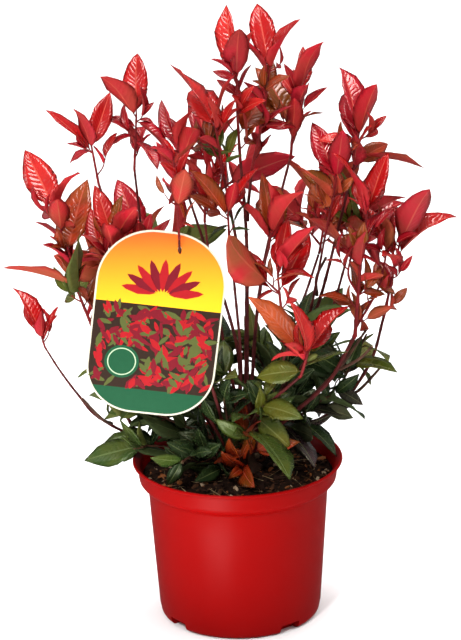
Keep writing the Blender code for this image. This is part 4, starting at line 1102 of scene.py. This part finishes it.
def cloud(tree, detail, scale=1.0, **kind):
    """Noise over the place on the piece."""
    made = node(tree, "TexNoise", **kind)
    made.inputs["Detail"].default_value = detail
    made.inputs["Scale"].default_value = scale
    tree.links.new(node(tree, "TexCoord").outputs["Object"], made.inputs["Vector"])
    return made


def mottle_group():
    """Soft patches: a mask from nought to one, its size set by the scale."""
    inputs = [("Scale", 60.0), ("Contrast", 2.0), ("Seed", 0.0)]
    tree, given, out = group("mottle", inputs, "Mask")
    patches = cloud(tree, 3.0, noise_dimensions="4D")
    tree.links.new(given["Scale"], patches.inputs["Scale"])
    tree.links.new(given["Seed"], patches.inputs["W"])
    centred = sums(tree, "SUBTRACT", patches.outputs[0], 0.5)
    wide = sums(tree, "MULTIPLY_ADD", centred, given["Contrast"], 0.5)
    clamp = node(tree, "Clamp")
    tree.links.new(wide, clamp.inputs["Value"])
    tree.links.new(clamp.outputs[0], out)


def veins_group():
    """Relief of a leaf: side veins that run forward from the rib, and a fine grain."""
    inputs = [("Pairs", 9.0), ("Depth", 1.0), ("Grain", 0.3)]
    tree, given, out = group("veins", inputs, "Height")
    split = node(tree, "SeparateXYZ")
    tree.links.new(node(tree, "UVMap", uv_map="leaf").outputs[0], split.inputs[0])
    away = sums(tree, "ABSOLUTE", split.outputs[1])
    straight = sums(tree, "MULTIPLY_ADD", away, -0.2, split.outputs[0])
    forward = sums(tree, "MULTIPLY_ADD", cloud(tree, 1.0, 70.0).outputs[0], 0.16, straight)
    turns = sums(tree, "MULTIPLY", forward, given["Pairs"])
    wave = sums(tree, "SINE", sums(tree, "MULTIPLY", turns, math.pi))
    bulge = sums(tree, "POWER", sums(tree, "ABSOLUTE", wave), 0.75)
    deep = sums(tree, "MULTIPLY", bulge, given["Depth"])
    grain = cloud(tree, 2.0, 260.0).outputs[0]
    tree.links.new(sums(tree, "MULTIPLY_ADD", grain, given["Grain"], deep), out)


class Finish:
    """A material with one shader, and the patterns that feed its colour, gloss and relief."""

    def __init__(self, name, specular, sheen=(1.0, 1.0, 1.0)):
        self.mat = bpy.data.materials.new(name)
        self.mat.use_nodes = True
        self.tree = self.mat.node_tree
        self.shader = self.tree.nodes["Principled BSDF"]
        self.shader.inputs["Specular IOR Level"].default_value = specular
        self.shader.inputs["Specular Tint"].default_value = (*sheen, 1.0)

    def use(self, group_name, **values):
        """What a shader group gives for some values."""
        made = node(self.tree, "Group", node_tree=bpy.data.node_groups[group_name])
        for label, value in values.items():
            made.inputs[label].default_value = value
        return made.outputs[0]

    def patches(self, scale, contrast, seed):
        return self.use("mottle", Scale=scale, Contrast=contrast, Seed=seed)

    def colour(self, mask, first, second):
        """Base colour that goes from the first to the second as the mask rises."""
        mix = node(self.tree, "Mix", data_type="RGBA")
        self.tree.links.new(mask, mix.inputs["Factor"])
        mix.inputs[6].default_value = (*first, 1.0)
        mix.inputs[7].default_value = (*second, 1.0)
        self.tree.links.new(mix.outputs[2], self.shader.inputs["Base Color"])

    def gloss(self, mask, low, high):
        """Roughness that goes from low to high as the mask rises."""
        self.tree.links.new(self.spread(mask, (0.0, 1.0), (low, high)),
                            self.shader.inputs["Roughness"])

    def spread(self, value, given, wanted):
        """Value carried over from one range to another."""
        span = node(self.tree, "MapRange")
        self.tree.links.new(value, span.inputs["Value"])
        span.inputs["From Min"].default_value, span.inputs["From Max"].default_value = given
        span.inputs["To Min"].default_value, span.inputs["To Max"].default_value = wanted
        return span.outputs[0]

    def relief(self, height, depth):
        """Bump of the given depth in millimetres."""
        bump = node(self.tree, "Bump")
        bump.inputs["Strength"].default_value = 1.0
        bump.inputs["Distance"].default_value = depth * MM
        self.tree.links.new(height, bump.inputs["Height"])
        self.tree.links.new(bump.outputs[0], self.shader.inputs["Normal"])


def shade(colour, factor, towards=(0.0, 0.0, 0.0), share=0.0):
    """A colour made darker or lighter, and moved a share of the way to another."""
    made = [channel * factor for channel in colour]
    return [min(1.0, a + (b - a) * share) for a, b in zip(made, towards)]


def leaf_finishes(key):
    """Upper face, lower face and rib of one tint."""
    name, plain, flushed = TINTS[key]
    look = OLD_LOOK if FORMS[key] is OLD else YOUNG_LOOK
    upper = Finish(name + "_upper", look.specular, look.sheen)
    upper.colour(upper.patches(38.0, 3.2, 1.0), plain, flushed)
    upper.gloss(upper.patches(130.0, 1.6, 4.0), *look.gloss)
    upper.relief(upper.use("veins", Pairs=12.0, Depth=look.depth, Grain=0.6), look.relief)
    under = Finish(name + "_lower", 0.15, look.sheen)
    patches = under.patches(30.0, 3.0, 2.0)
    under.colour(patches, shade(plain, 0.92, *look.under_plain),
                 shade(flushed, 1.05, *look.under_flush))
    under.gloss(patches, 0.5, 0.66)
    under.relief(under.use("veins", Pairs=10.0, Depth=-0.8, Grain=0.5), 0.2)
    rib = Finish(name + "_rib", 0.2)
    light = shade(plain, 1.15, look.rib, 0.3)
    patches = rib.patches(60.0, 2.0, 3.0)
    rib.colour(patches, light, shade(light, 0.7))
    rib.gloss(patches, 0.36, 0.5)
    return [upper.mat, under.mat, rib.mat]


def bark_finish(name):
    dark, light, rough = BARKS[name]
    made = Finish(name, 0.12)
    specks = made.patches(900.0, 3.0, 6.0)
    made.colour(made.patches(110.0, 2.6, 5.0), dark, light)
    made.gloss(specks, rough - 0.1, rough + 0.15)
    made.relief(specks, 0.12)
    return made.mat


def plastic_finish(name):
    """Satin moulded plastic with a faint haze and scuffs."""
    made = Finish(name, 0.05)
    made.colour(made.patches(14.0, 1.4, 7.0), *POT_REDS)
    made.gloss(made.patches(90.0, 2.4, 9.0), 0.33, 0.40)
    made.relief(made.patches(2200.0, 2.0, 8.0), 0.03)
    return made.mat


def earth_finish(name):
    dark, light, rough, scale, depth = EARTHS[name]
    made = Finish(name, 0.06)
    grain = made.patches(scale * 7.0, 3.0, 11.0)
    made.colour(made.patches(scale, 3.0, 10.0), dark, light)
    made.gloss(grain, rough - 0.15, min(1.0, rough + 0.05))
    made.relief(grain, depth)
    return made.mat


def ink_finish(name):
    """Print on coated card: nearly plain, or going from yellow up to orange."""
    made = Finish(name, 0.06)
    plain, *other = INKS[name]
    if other:
        split = node(made.tree, "SeparateXYZ")
        place = node(made.tree, "TexCoord")
        made.tree.links.new(place.outputs["Object"], split.inputs[0])
        heights = [(CARD_AT[2] + height) * MM for height in (SUNNY_FOOT, CARD_H / 2)]
        made.colour(made.spread(split.outputs[2], heights, (0.0, 1.0)), plain, *other)
        made.gloss(made.patches(240.0, 1.2, 13.0), 0.34, 0.46)
    else:
        patches = made.patches(240.0, 1.2, 12.0)
        made.colour(patches, plain, shade(plain, 0.86))
        made.gloss(patches, 0.35, 0.45)
    return made.mat


def grow_plant():
    """Stems, twigs and leaves, found again by the part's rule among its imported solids."""
    limbs = Limbs()
    for name in ("pot", "soil"):
        limbs.add(name, tree_of(SOLIDS[name]))
    spots = [crown_axis(height) for height in (0.0, CROWN_H)]
    limbs.keep("trunk", spots, CROWN_R, tree_of(SOLIDS["trunk"]))
    for name, parent, start, end, points in STEMS:
        if parent == "trunk":
            run = limbs.from_crown(points, start, end, STEM_STEP, STEM_SIDES, False)
        else:
            run = limbs.from_limb(points, start, end, STEM_STEP, STEM_SIDES, parent)
        limbs.keep(name, run, end, tree_of(SOLIDS["stem_" + name]))
    limbs.add("label_card", tree_of(SOLIDS["label_card"]))
    twigs = {name: grow_twigs(name, limbs) for name in MASSES}
    leaves = {}
    for name in MASSES:
        owner = "leaves_" + name
        leaves[name] = grow_leaves(owner, twigs[name], limbs, random.Random(f"{name} {SEED}"))
        limbs.add(owner, tree_of(SOLIDS[owner]))
    return limbs, twigs, leaves


def grow_sprigs(owner, twigs, leaves, limbs):
    """Short side twigs of a mass with small leaves, within the reach of its solid."""
    rng = random.Random(f"sprigs {owner} {SEED}")
    corners = [Vector(point.co) / MM for point in SOLIDS[owner].data.vertices]
    low = [min(point[axis] for point in corners) - SPRIG_ROOM for axis in range(3)]
    high = [max(point[axis] for point in corners) + SPRIG_ROOM for axis in range(3)]
    blades = [blade_tree(leaf) for leaf in leaves]
    green = owner.startswith("leaves_green")
    step = GREEN_SPRIG_STEP if green else SPRIG_STEP
    sizes = GREEN_SPRIG_LEAF if green else SPRIG_LEAF
    sprigs = []
    grown = []
    for twig in twigs:
        count = max(1, round(length_of(twig.run) / step))
        for k in range(count):
            share = (k + rng.uniform(0.4, 0.8)) / count
            axis = direction(twig.run, share)
            turn = math.radians(GOLDEN_ANGLE * k) + rng.uniform(-0.5, 0.5)
            side = sideways(axis, turn)
            root = along(twig.run, share)
            length = rng.uniform(*SPRIG_LENGTH)
            ahead = (axis * 0.7 + side).normalized()
            tip = root + (ahead + axis * 0.3).normalized() * length
            run = spline([root, root + ahead * length * 0.5, tip], 3.0)
            near = min(leaves, key=lambda leaf: (leaf.root - root).length)
            tint = "d" if green and near.tint == "o" else near.tint
            own = sprig_leaves(owner, run, tint, sizes, rng, limbs, blades, (low, high))
            if own:
                sprigs.append(Twig(run, *SPRIG_R, []))
                grown += own
    return sprigs, grown


def sprig_leaves(owner, run, tint, sizes, rng, limbs, blades, reach):
    """Leaves of one sprig that find room of their own inside the mass."""
    found = []
    low, high = reach
    for k in range(SPRIG_LEAVES):
        share = 1.0 - 0.28 * k
        axis = direction(run, share)
        turn = math.radians(GOLDEN_ANGLE * k) + rng.uniform(-0.6, 0.6)
        side = sideways(axis, turn)
        opening = math.radians(14.0 + 24.0 * k + rng.uniform(-8.0, 8.0))
        ahead = axis * math.cos(opening) + side * math.sin(opening)
        leaf = leaf_at(run, share, ahead, 0.0, rng.uniform(*sizes), LEAF_W * 0.94,
                       rng.uniform(4.0, 26.0), tint)
        leaf = fitted(leaf, limbs, owner, blades)
        if not leaf:
            continue
        tip = leaf_point(leaf, 1.0, 0.0, 0.0)
        inside = all(low[axis] < tip[axis] < high[axis] for axis in range(3))
        blade = blade_tree(leaf)
        if inside and not any(other.overlap(blade) for other in blades):
            blades.append(blade)
            found.append(leaf)
    return found


def make_stems(limbs):
    """All main boughs in one piece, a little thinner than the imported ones."""
    heap = bmesh.new()
    for k, (name, _, start, end, _) in enumerate(STEMS):
        run = limbs.known[name][0]
        add_limb(heap, run, start * STEM_FINE, end * STEM_FINE, STEM_ROUND, k)
    nodes = ["stem_" + row[0] for row in STEMS]
    piece("stems", heap, [bark_finish("stem_bark")], "stem_bark", *nodes)


def make_stubs(limbs):
    """Twigs that were cut back, each with its pale cut end."""
    heap = bmesh.new()
    start, end = STUB_R
    for k, (parent, points) in enumerate(STUBS):
        run = limbs.from_limb(points, start, end, STEM_STEP, STEM_SIDES, parent)
        if run is None:
            print("no room for a cut twig on", parent)
            continue
        limbs.add("cut_twigs", tree_from(sweep(run, start, end, STEM_SIDES)))
        add_limb(heap, run, start, end, TWIG_ROUND, k)
        ahead = (run[-1] - run[-2]).normalized()
        cut = [run[-1] - ahead * 0.4, run[-1] + ahead * 0.15]
        added(heap, sweep(cut, end * 0.8, end * 0.7, TWIG_ROUND), 1)
    mats = [bark_finish(name) for name in ("cut_twig_bark", "cut_wood")]
    piece("cut_twigs", heap, mats, "stem_bark")


def make_twigs(twigs, leaves):
    """All shoots, sprigs and leaf stalks in one piece."""
    heap = bmesh.new()
    for k, name in enumerate(MASSES):
        slot = 1 if name.startswith("green") else 0
        for twig in twigs[name]:
            add_limb(heap, twig.run, twig.start, twig.end, TWIG_ROUND, k, slot)
        for leaf in leaves[name]:
            add_stalk(heap, leaf, 2 if FORMS[leaf.tint] is OLD else 0)
    mats = [bark_finish(name) for name in ("young_bark", "older_bark", "green_stalk")]
    piece("twigs", heap, mats, "stem_bark", *["leaves_" + name for name in MASSES])


def make_leaves(leaves):
    """One joined piece for each tint, of the leaves of every mass."""
    template = leaf_template()
    rng = random.Random(SEED)
    for key, (name, _, _) in TINTS.items():
        heap = bmesh.new()
        nodes = []
        for owner, grown in leaves.items():
            own = [leaf for leaf in grown if leaf.tint == key]
            for leaf in own:
                add_leaf(heap, template, leaf, rng)
            if own:
                nodes.append("leaves_" + owner)
        if nodes:
            heap.normal_update()
            piece("leaves_" + name, heap, leaf_finishes(key), name + "_leaf", *nodes)
    bpy.data.meshes.remove(template)


def make_root_crown():
    """Flared stump on the soil, with the bark's lumps and furrows."""
    count = 16
    heights = [CROWN_H * k / count for k in range(count + 1)]
    spots = [crown_axis(height) for height in heights]
    radii = [crown_radius(height) * min(1.0, 0.5 + 0.125 * (CROWN_H - height))
             for height in heights]
    bm = sweep_rings(spots, radii, 36)
    for point in bm.verts:
        if SOIL_TOP + 1.0 < point.co.z:
            out = Vector((point.co.x - CROWN_AT[0], point.co.y - CROWN_AT[1], 0.0)).normalized()
            lumps = rough_noise(point.co, 5.0, 1.2) + rough_noise(point.co, 2.2, 0.5)
            point.co += out * (lumps - 0.5)
    for face in bm.faces:
        face.smooth = True
    piece("root_crown", bm, [bark_finish("crown_bark")], "stem_bark", "trunk")


def notch_boxes():
    """One box for each water notch, round the pot's foot."""
    bm = bmesh.new()
    for k in range(NOTCHES):
        turn = Matrix.Rotation(math.radians(NOTCH_TURN + 360.0 * k / NOTCHES - 90.0), 4, "Z")
        place = turn @ Matrix.Translation((BASE_R + 1.0, 0.0, 3.3))
        size = Matrix.Diagonal((18.0, NOTCH_W + 3.0, 2 * NOTCH_H, 1.0))
        bmesh.ops.create_cube(bm, size=1.0, matrix=place @ size)
    rim = [edge for edge in bm.edges if min(point.co.z for point in edge.verts) > 0.0]
    bmesh.ops.bevel(bm, geom=rim, offset=1.6, segments=4, affect="EDGES", profile=0.5, material=-1)
    return bm


def make_pot():
    """Thin moulded shell: rolled rim, straight collar, soft shoulder, tapered body, round foot."""
    foot = [(0.0, 0.0)] + arc((BASE_R - 3.8, 6.0), 6.0, -90.0, -2.0, 10)
    body = [(73.8, 11.0), (76.2, 44.0), (78.4, 76.0), (80.2, 102.0),
            (BODY_TOP_R + 0.35, BODY_TOP - 2.2), (BODY_TOP_R + 1.2, BODY_TOP - 0.5)]
    shoulder = [(84.2, 126.5), (87.4, 128.4), (89.2, 130.8)]
    collar = [(89.8, 133.4), (90.6, POT_H - 5.6), (91.4, POT_H - 3.4), (93.4, POT_H - 2.6)]
    rim = arc((RIM_R - 1.2, POT_H - 1.35), 1.35, -60.0, 120.0, 8)
    inner = [(92.2, POT_H - 1.3), (89.6, POT_H - 3.4), (87.6, POT_H - 7.0), (86.8, 133.0),
             (86.0, 130.8), (82.6, 128.6), (BODY_TOP_R - 1.6, BODY_TOP), (76.2, 76.0), (72.2, 18.0),
             (69.5, 12.4), (64.5, 11.2), (0.0, 11.2)]
    bm = cut_away(spun(foot + body + shoulder + collar + rim + inner, POT_ROUND), notch_boxes())
    for face in bm.faces:
        face.smooth = True
    for edge in bm.edges:
        if len(edge.link_faces) == 2 and edge.calc_face_angle(0.0) > math.radians(40.0):
            edge.smooth = False
    piece("nursery_pot", bm, [plastic_finish("pot_plastic")], "pot_plastic", "pot")


def card_plate(bottom, top, margin, thick, lift):
    """Plate in the card's outline, drawn in by a margin and cut level at two heights."""
    bm = bmesh.new()
    size = (CARD_W - 2 * margin, thick, CARD_H - 2 * margin, 1.0)
    bmesh.ops.create_cube(bm, size=1.0, matrix=Matrix.Diagonal(size))
    for upper, radius in ((True, CARD_W * CARD_ARCH), (False, CARD_CORNER)):
        corners = [edge for edge in bm.edges
                   if abs(edge.verts[0].co.y - edge.verts[1].co.y) > thick * 0.5
                   and abs(abs(edge.verts[0].co.x) - size[0] / 2) < 0.01
                   and abs(abs(edge.verts[0].co.z) - size[2] / 2) < 0.01
                   and (edge.verts[0].co.z > 0.0) == upper]
        bmesh.ops.bevel(bm, geom=corners, offset=radius - margin, segments=16, affect="EDGES",
                        profile=0.5, material=-1)
    for height, side in ((bottom, -1.0), (top, 1.0)):
        if height is not None:
            cut = bmesh.ops.bisect_plane(bm, geom=bm.verts[:] + bm.edges[:] + bm.faces[:],
                                         plane_co=(0.0, 0.0, height), plane_no=(0.0, 0.0, side),
                                         clear_outer=True)
            rim = [item for item in cut["geom_cut"] if isinstance(item, bmesh.types.BMEdge)]
            bmesh.ops.edgenet_fill(bm, edges=rim)
    bmesh.ops.translate(bm, vec=(0.0, -lift - thick / 2, 0.0), verts=bm.verts)
    bmesh.ops.recalc_face_normals(bm, faces=bm.faces)
    return bm


def card_motif(place, length, width, turn, lift, corners):
    """Flat printed leaf or disc, facing forward."""
    bm = bmesh.new()
    bmesh.ops.create_circle(bm, cap_ends=True, radius=1.0, segments=corners)
    if corners < 12:
        for point in bm.verts:
            point.co.x *= 1.0 - 0.35 * abs(point.co.y)
    spread = Matrix.Diagonal((width / 2, length / 2, 1.0, 1.0))
    stand = Matrix.Rotation(math.radians(90.0), 4, "X")
    bm.transform(Matrix.Translation((place[0], -lift, place[1]))
                 @ Matrix.Rotation(turn, 4, "Y") @ stand @ spread)
    return bm


def make_card(limbs):
    """Care card with an arched top: sunny field, leafy field, green foot and a round badge."""
    rng = random.Random(SEED + 5)
    half = CARD_T / 2
    place = Matrix.Translation(CARD_AT) @ Matrix.Rotation(math.radians(CARD_TILT), 4, "Y")
    run = limbs.known["over_label"][0]
    start, end = next(row[2:4] for row in STEMS if row[0] == "over_label")
    heap = bmesh.new()
    fields = ((None, None, 0.0, CARD_T, -half, 0), (SUNNY_FOOT, None, CARD_EDGE, PRINT_T, half, 1),
              (GREEN_TOP, SUNNY_FOOT, CARD_EDGE, PRINT_T, half, 2),
              (None, GREEN_TOP, CARD_EDGE, PRINT_T, half, 3))
    for bottom, top, margin, thick, lift, slot in fields:
        bm = card_plate(bottom, top, margin, thick, lift)
        bm.transform(place)
        if top is None:
            bm = cut_away(bm, sweep(run, start + SLOT_ROOM, end + SLOT_ROOM, 24))
        added(heap, bm, slot, smooth=False)
    face = half + PRINT_T
    motifs = []
    for k in range(CARD_LEAVES):
        across = rng.uniform(-1.0, 1.0) * (CARD_W / 2 - 7.0)
        height = rng.uniform(GREEN_TOP + 4.0, SUNNY_FOOT - 4.0)
        if math.hypot(across - BADGE_AT[0], height - BADGE_AT[1]) > BADGE_R + 4.0:
            motifs.append(((across, height), rng.uniform(*CARD_LEAF_L), rng.uniform(*CARD_LEAF_W),
                           rng.uniform(-1.4, 1.4), 4 + rng.choice((0, 0, 1, 1, 1, 2, 2))))
    for k in range(FAN_LEAVES):
        lean = (k - FAN_LEAVES // 2) * FAN_STEP
        spot = (FAN_AT[0] + FAN_REACH[0] * math.sin(lean), FAN_AT[1] + FAN_REACH[1] * math.cos(lean))
        motifs.append((spot, *FAN_LEAF, lean, 5 if k % 2 else 4))
    shapes = [(card_motif(spot, length, width, turn, face + 0.02 + 0.0004 * k, 8), slot)
              for k, (spot, length, width, turn, slot) in enumerate(motifs)]
    rings = ((BADGE_R, 0.12, 3), (BADGE_R - 2.4, 0.15, 7), (BADGE_R - 3.4, 0.18, 3))
    shapes += [(card_motif(BADGE_AT, 2 * radius, 2 * radius, 0.0, face + lift, 48), slot)
               for radius, lift, slot in rings]
    for bm, slot in shapes:
        bm.transform(place)
        added(heap, bm, slot, smooth=False)
    piece("care_card", heap, [ink_finish(name) for name in INKS], "card_stock", "label_card")


def make_soil():
    """Filling of the pot: a heaped, crumbly top on the plain inside of the packed soil."""
    inside = [(0.0, 11.6), (64.2, 11.6), (68.9, 12.9), (71.5, 18.2),
              (BODY_TOP_R - 2.35, BODY_TOP + 0.2), (81.9, 128.9), (85.6, 131.5)]
    rings = [SOIL_R * (1.0 - k / SOIL_RINGS) for k in range(SOIL_RINGS + 1)]
    top = [(radius, soil_height(radius)) for radius in rings]
    bm = spun(inside + top, SOIL_ROUND)
    for point in bm.verts:
        radius = math.hypot(point.co.x, point.co.y)
        if point.co.z > SOIL_EDGE - 1.5 and radius < CRUMBLY_R:
            fade = min(1.0, (SOIL_R - radius) / 6.0)
            lumps = rough_noise(point.co, 13.0, 2.0) + rough_noise(point.co, 5.0, 1.6)
            point.co.z += fade * (lumps + rough_noise(point.co, 2.4, 0.8))
    piece("soil_bed", bm, [earth_finish("bark_soil")], "bark_soil", "soil")


def soil_height(radius):
    """Height of the heaped soil at a distance from the pot's axis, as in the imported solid."""
    outline = [(0.0, SOIL_TOP), (24.0, SOIL_TOP), (56.0, SOIL_TOP - 1.6), (SOIL_R, SOIL_EDGE)]
    for (near, high), (far, low) in zip(outline, outline[1:]):
        if radius <= far:
            return high + (low - high) * (radius - near) / (far - near)
    return SOIL_EDGE


def spot_on_soil(rng, edge):
    """Random place on the soil, as likely at any point out to the edge."""
    radius = edge * math.sqrt(rng.random())
    angle = rng.uniform(0.0, math.tau)
    return Vector((radius * math.cos(angle), radius * math.sin(angle), soil_height(radius)))


def make_chips():
    """Bark chips strewn on the soil, most of them dark, some tan, rust or pale."""
    rng = random.Random(SEED + 1)
    heap = bmesh.new()
    for _ in range(CHIPS):
        spot = spot_on_soil(rng, DRESSED_R)
        size = rng.uniform(*(SMALL_CHIP if rng.random() < SMALL_SHARE else LARGE_CHIP))
        bm = bmesh.new()
        bmesh.ops.create_icosphere(bm, subdivisions=1, radius=0.5)
        sides = (size, size * rng.uniform(0.35, 0.8), size * rng.uniform(0.15, 0.4), 1.0)
        for point in bm.verts:
            point.co *= rng.uniform(0.72, 1.2)
        turn = (Matrix.Rotation(rng.uniform(0, math.tau), 4, "Z")
                @ Matrix.Rotation(rng.gauss(0.0, 0.45), 4, "X")
                @ Matrix.Rotation(rng.gauss(0.0, 0.35), 4, "Y"))
        spot.z += rng.uniform(-0.4, 1.6)
        bm.transform(Matrix.Translation(spot) @ turn @ Matrix.Diagonal(sides))
        pick = rng.random()
        slot = next(k for k, limit in enumerate(CHIP_KINDS.values()) if pick < limit)
        added(heap, bm, slot, smooth=False)
    mats = [earth_finish(name) for name in CHIP_KINDS]
    piece("bark_chips", heap, mats, "bark_soil")


def make_straws():
    """Thin dry fibres, nearly straight, lying over the chips."""
    rng = random.Random(SEED + 2)
    heap = bmesh.new()
    for k in range(STRAWS):
        spot = spot_on_soil(rng, STRAW_EDGE)
        ahead = Vector((1.0, 0.0, 0.0))
        ahead.rotate(Matrix.Rotation(rng.uniform(0.0, math.tau), 3, "Z"))
        length = rng.uniform(*STRAW_LENGTH)
        bow = rng.uniform(-0.2, 0.2)
        rise = rng.uniform(-0.12, 0.16)
        run = []
        for n in range(6):
            share = n / 5 - 0.5
            side = Vector((-ahead.y, ahead.x, 0.0)) * bow * length * (0.25 - share * share) * 2
            point = spot + ahead * length * share + side
            reach = math.hypot(point.x, point.y)
            if reach > DRESSED_R:
                point *= DRESSED_R / reach
            rest = soil_height(math.hypot(point.x, point.y)) + 1.9
            point.z = rest + rise * length * (share + 0.5)
            run.append(point)
        radius = rng.uniform(*STRAW_R)
        added(heap, sweep(run, radius, radius * 0.6, 4), k % 2)
    mats = [earth_finish(name) for name in ("straw", "dark_straw")]
    piece("dry_fibres", heap, mats, "bark_soil")


def make_stage():
    """Pale level floor under a plain white sky."""
    bm = bmesh.new()
    bmesh.ops.create_grid(bm, x_segments=1, y_segments=1, size=FLOOR_HALF)
    floor = item_of("floor", bm)
    mat = bpy.data.materials.new("pale_floor")
    mat.use_nodes = True
    shader = mat.node_tree.nodes["Principled BSDF"]
    shader.inputs["Base Color"].default_value = (0.9, 0.9, 0.9, 1.0)
    shader.inputs["Roughness"].default_value = 0.9
    floor.data.materials.append(mat)
    floor.visible_glossy = False
    world = bpy.data.worlds.new("studio")
    bpy.context.scene.world = world
    world.use_nodes = True
    plain = world.node_tree.nodes["Background"]
    plain.inputs["Color"].default_value = (1.0, 1.0, 1.0, 1.0)
    plain.inputs["Strength"].default_value = WORLD_LIGHT


def set_tones():
    """Plain display tones, so that the reds keep their depth."""
    view = bpy.context.scene.view_settings
    view.view_transform = "Standard"
    view.look = "None"


def make_camera():
    """Camera that frames the plant as the photograph does."""
    rise = math.radians(CAMERA_HEIGHT)
    roll = math.radians(CAMERA_ROLL)
    back = Vector((0.0, -math.cos(rise), math.sin(rise)))
    level = Vector((1.0, 0.0, 0.0))
    steep = Vector((0.0, math.sin(rise), math.cos(rise)))
    right = level * math.cos(roll) + steep * math.sin(roll)
    up = steep * math.cos(roll) - level * math.sin(roll)
    lens = bpy.data.cameras.new("camera")
    lens.lens = CAMERA_LENS
    lens.clip_end = 50.0
    camera = bpy.data.objects.new("camera", lens)
    bpy.context.scene.collection.objects.link(camera)
    turn = Matrix((right, up, back)).transposed().to_4x4()
    place = (Vector(CAMERA_AIM) + back * CAMERA_DISTANCE) * MM
    camera.matrix_world = Matrix.Translation(place) @ turn
    bpy.context.scene.camera = camera


def make_light(name, place, aim, size, power):
    """Soft rectangular studio light, aimed at a point of the plant."""
    data = bpy.data.lights.new(name, "AREA")
    data.shape = "RECTANGLE"
    data.size, data.size_y = size
    data.energy = power
    light = bpy.data.objects.new(name, data)
    bpy.context.scene.collection.objects.link(light)
    place = Vector(place)
    turn = (place - Vector(aim)).to_track_quat("Z", "Y").to_matrix().to_4x4()
    light.matrix_world = Matrix.Translation(place) @ turn
    light.visible_camera = False
    light.visible_glossy = name != "overhead"


def main():
    """Studio first, then the plant grown again, and its pieces."""
    set_tones()
    make_camera()
    for light in LIGHTS:
        make_light(*light)
    make_stage()
    mottle_group()
    veins_group()
    limbs, twigs, leaves = grow_plant()
    make_pot()
    make_soil()
    make_chips()
    make_straws()
    make_root_crown()
    make_card(limbs)
    make_stubs(limbs)
    for name in MASSES:
        sprigs, small = grow_sprigs("leaves_" + name, twigs[name], leaves[name], limbs)
        twigs[name] += sprigs
        leaves[name] += small
    print("leaves:", sum(len(grown) for grown in leaves.values()))
    make_stems(limbs)
    make_twigs(twigs, leaves)
    make_leaves(leaves)


main()
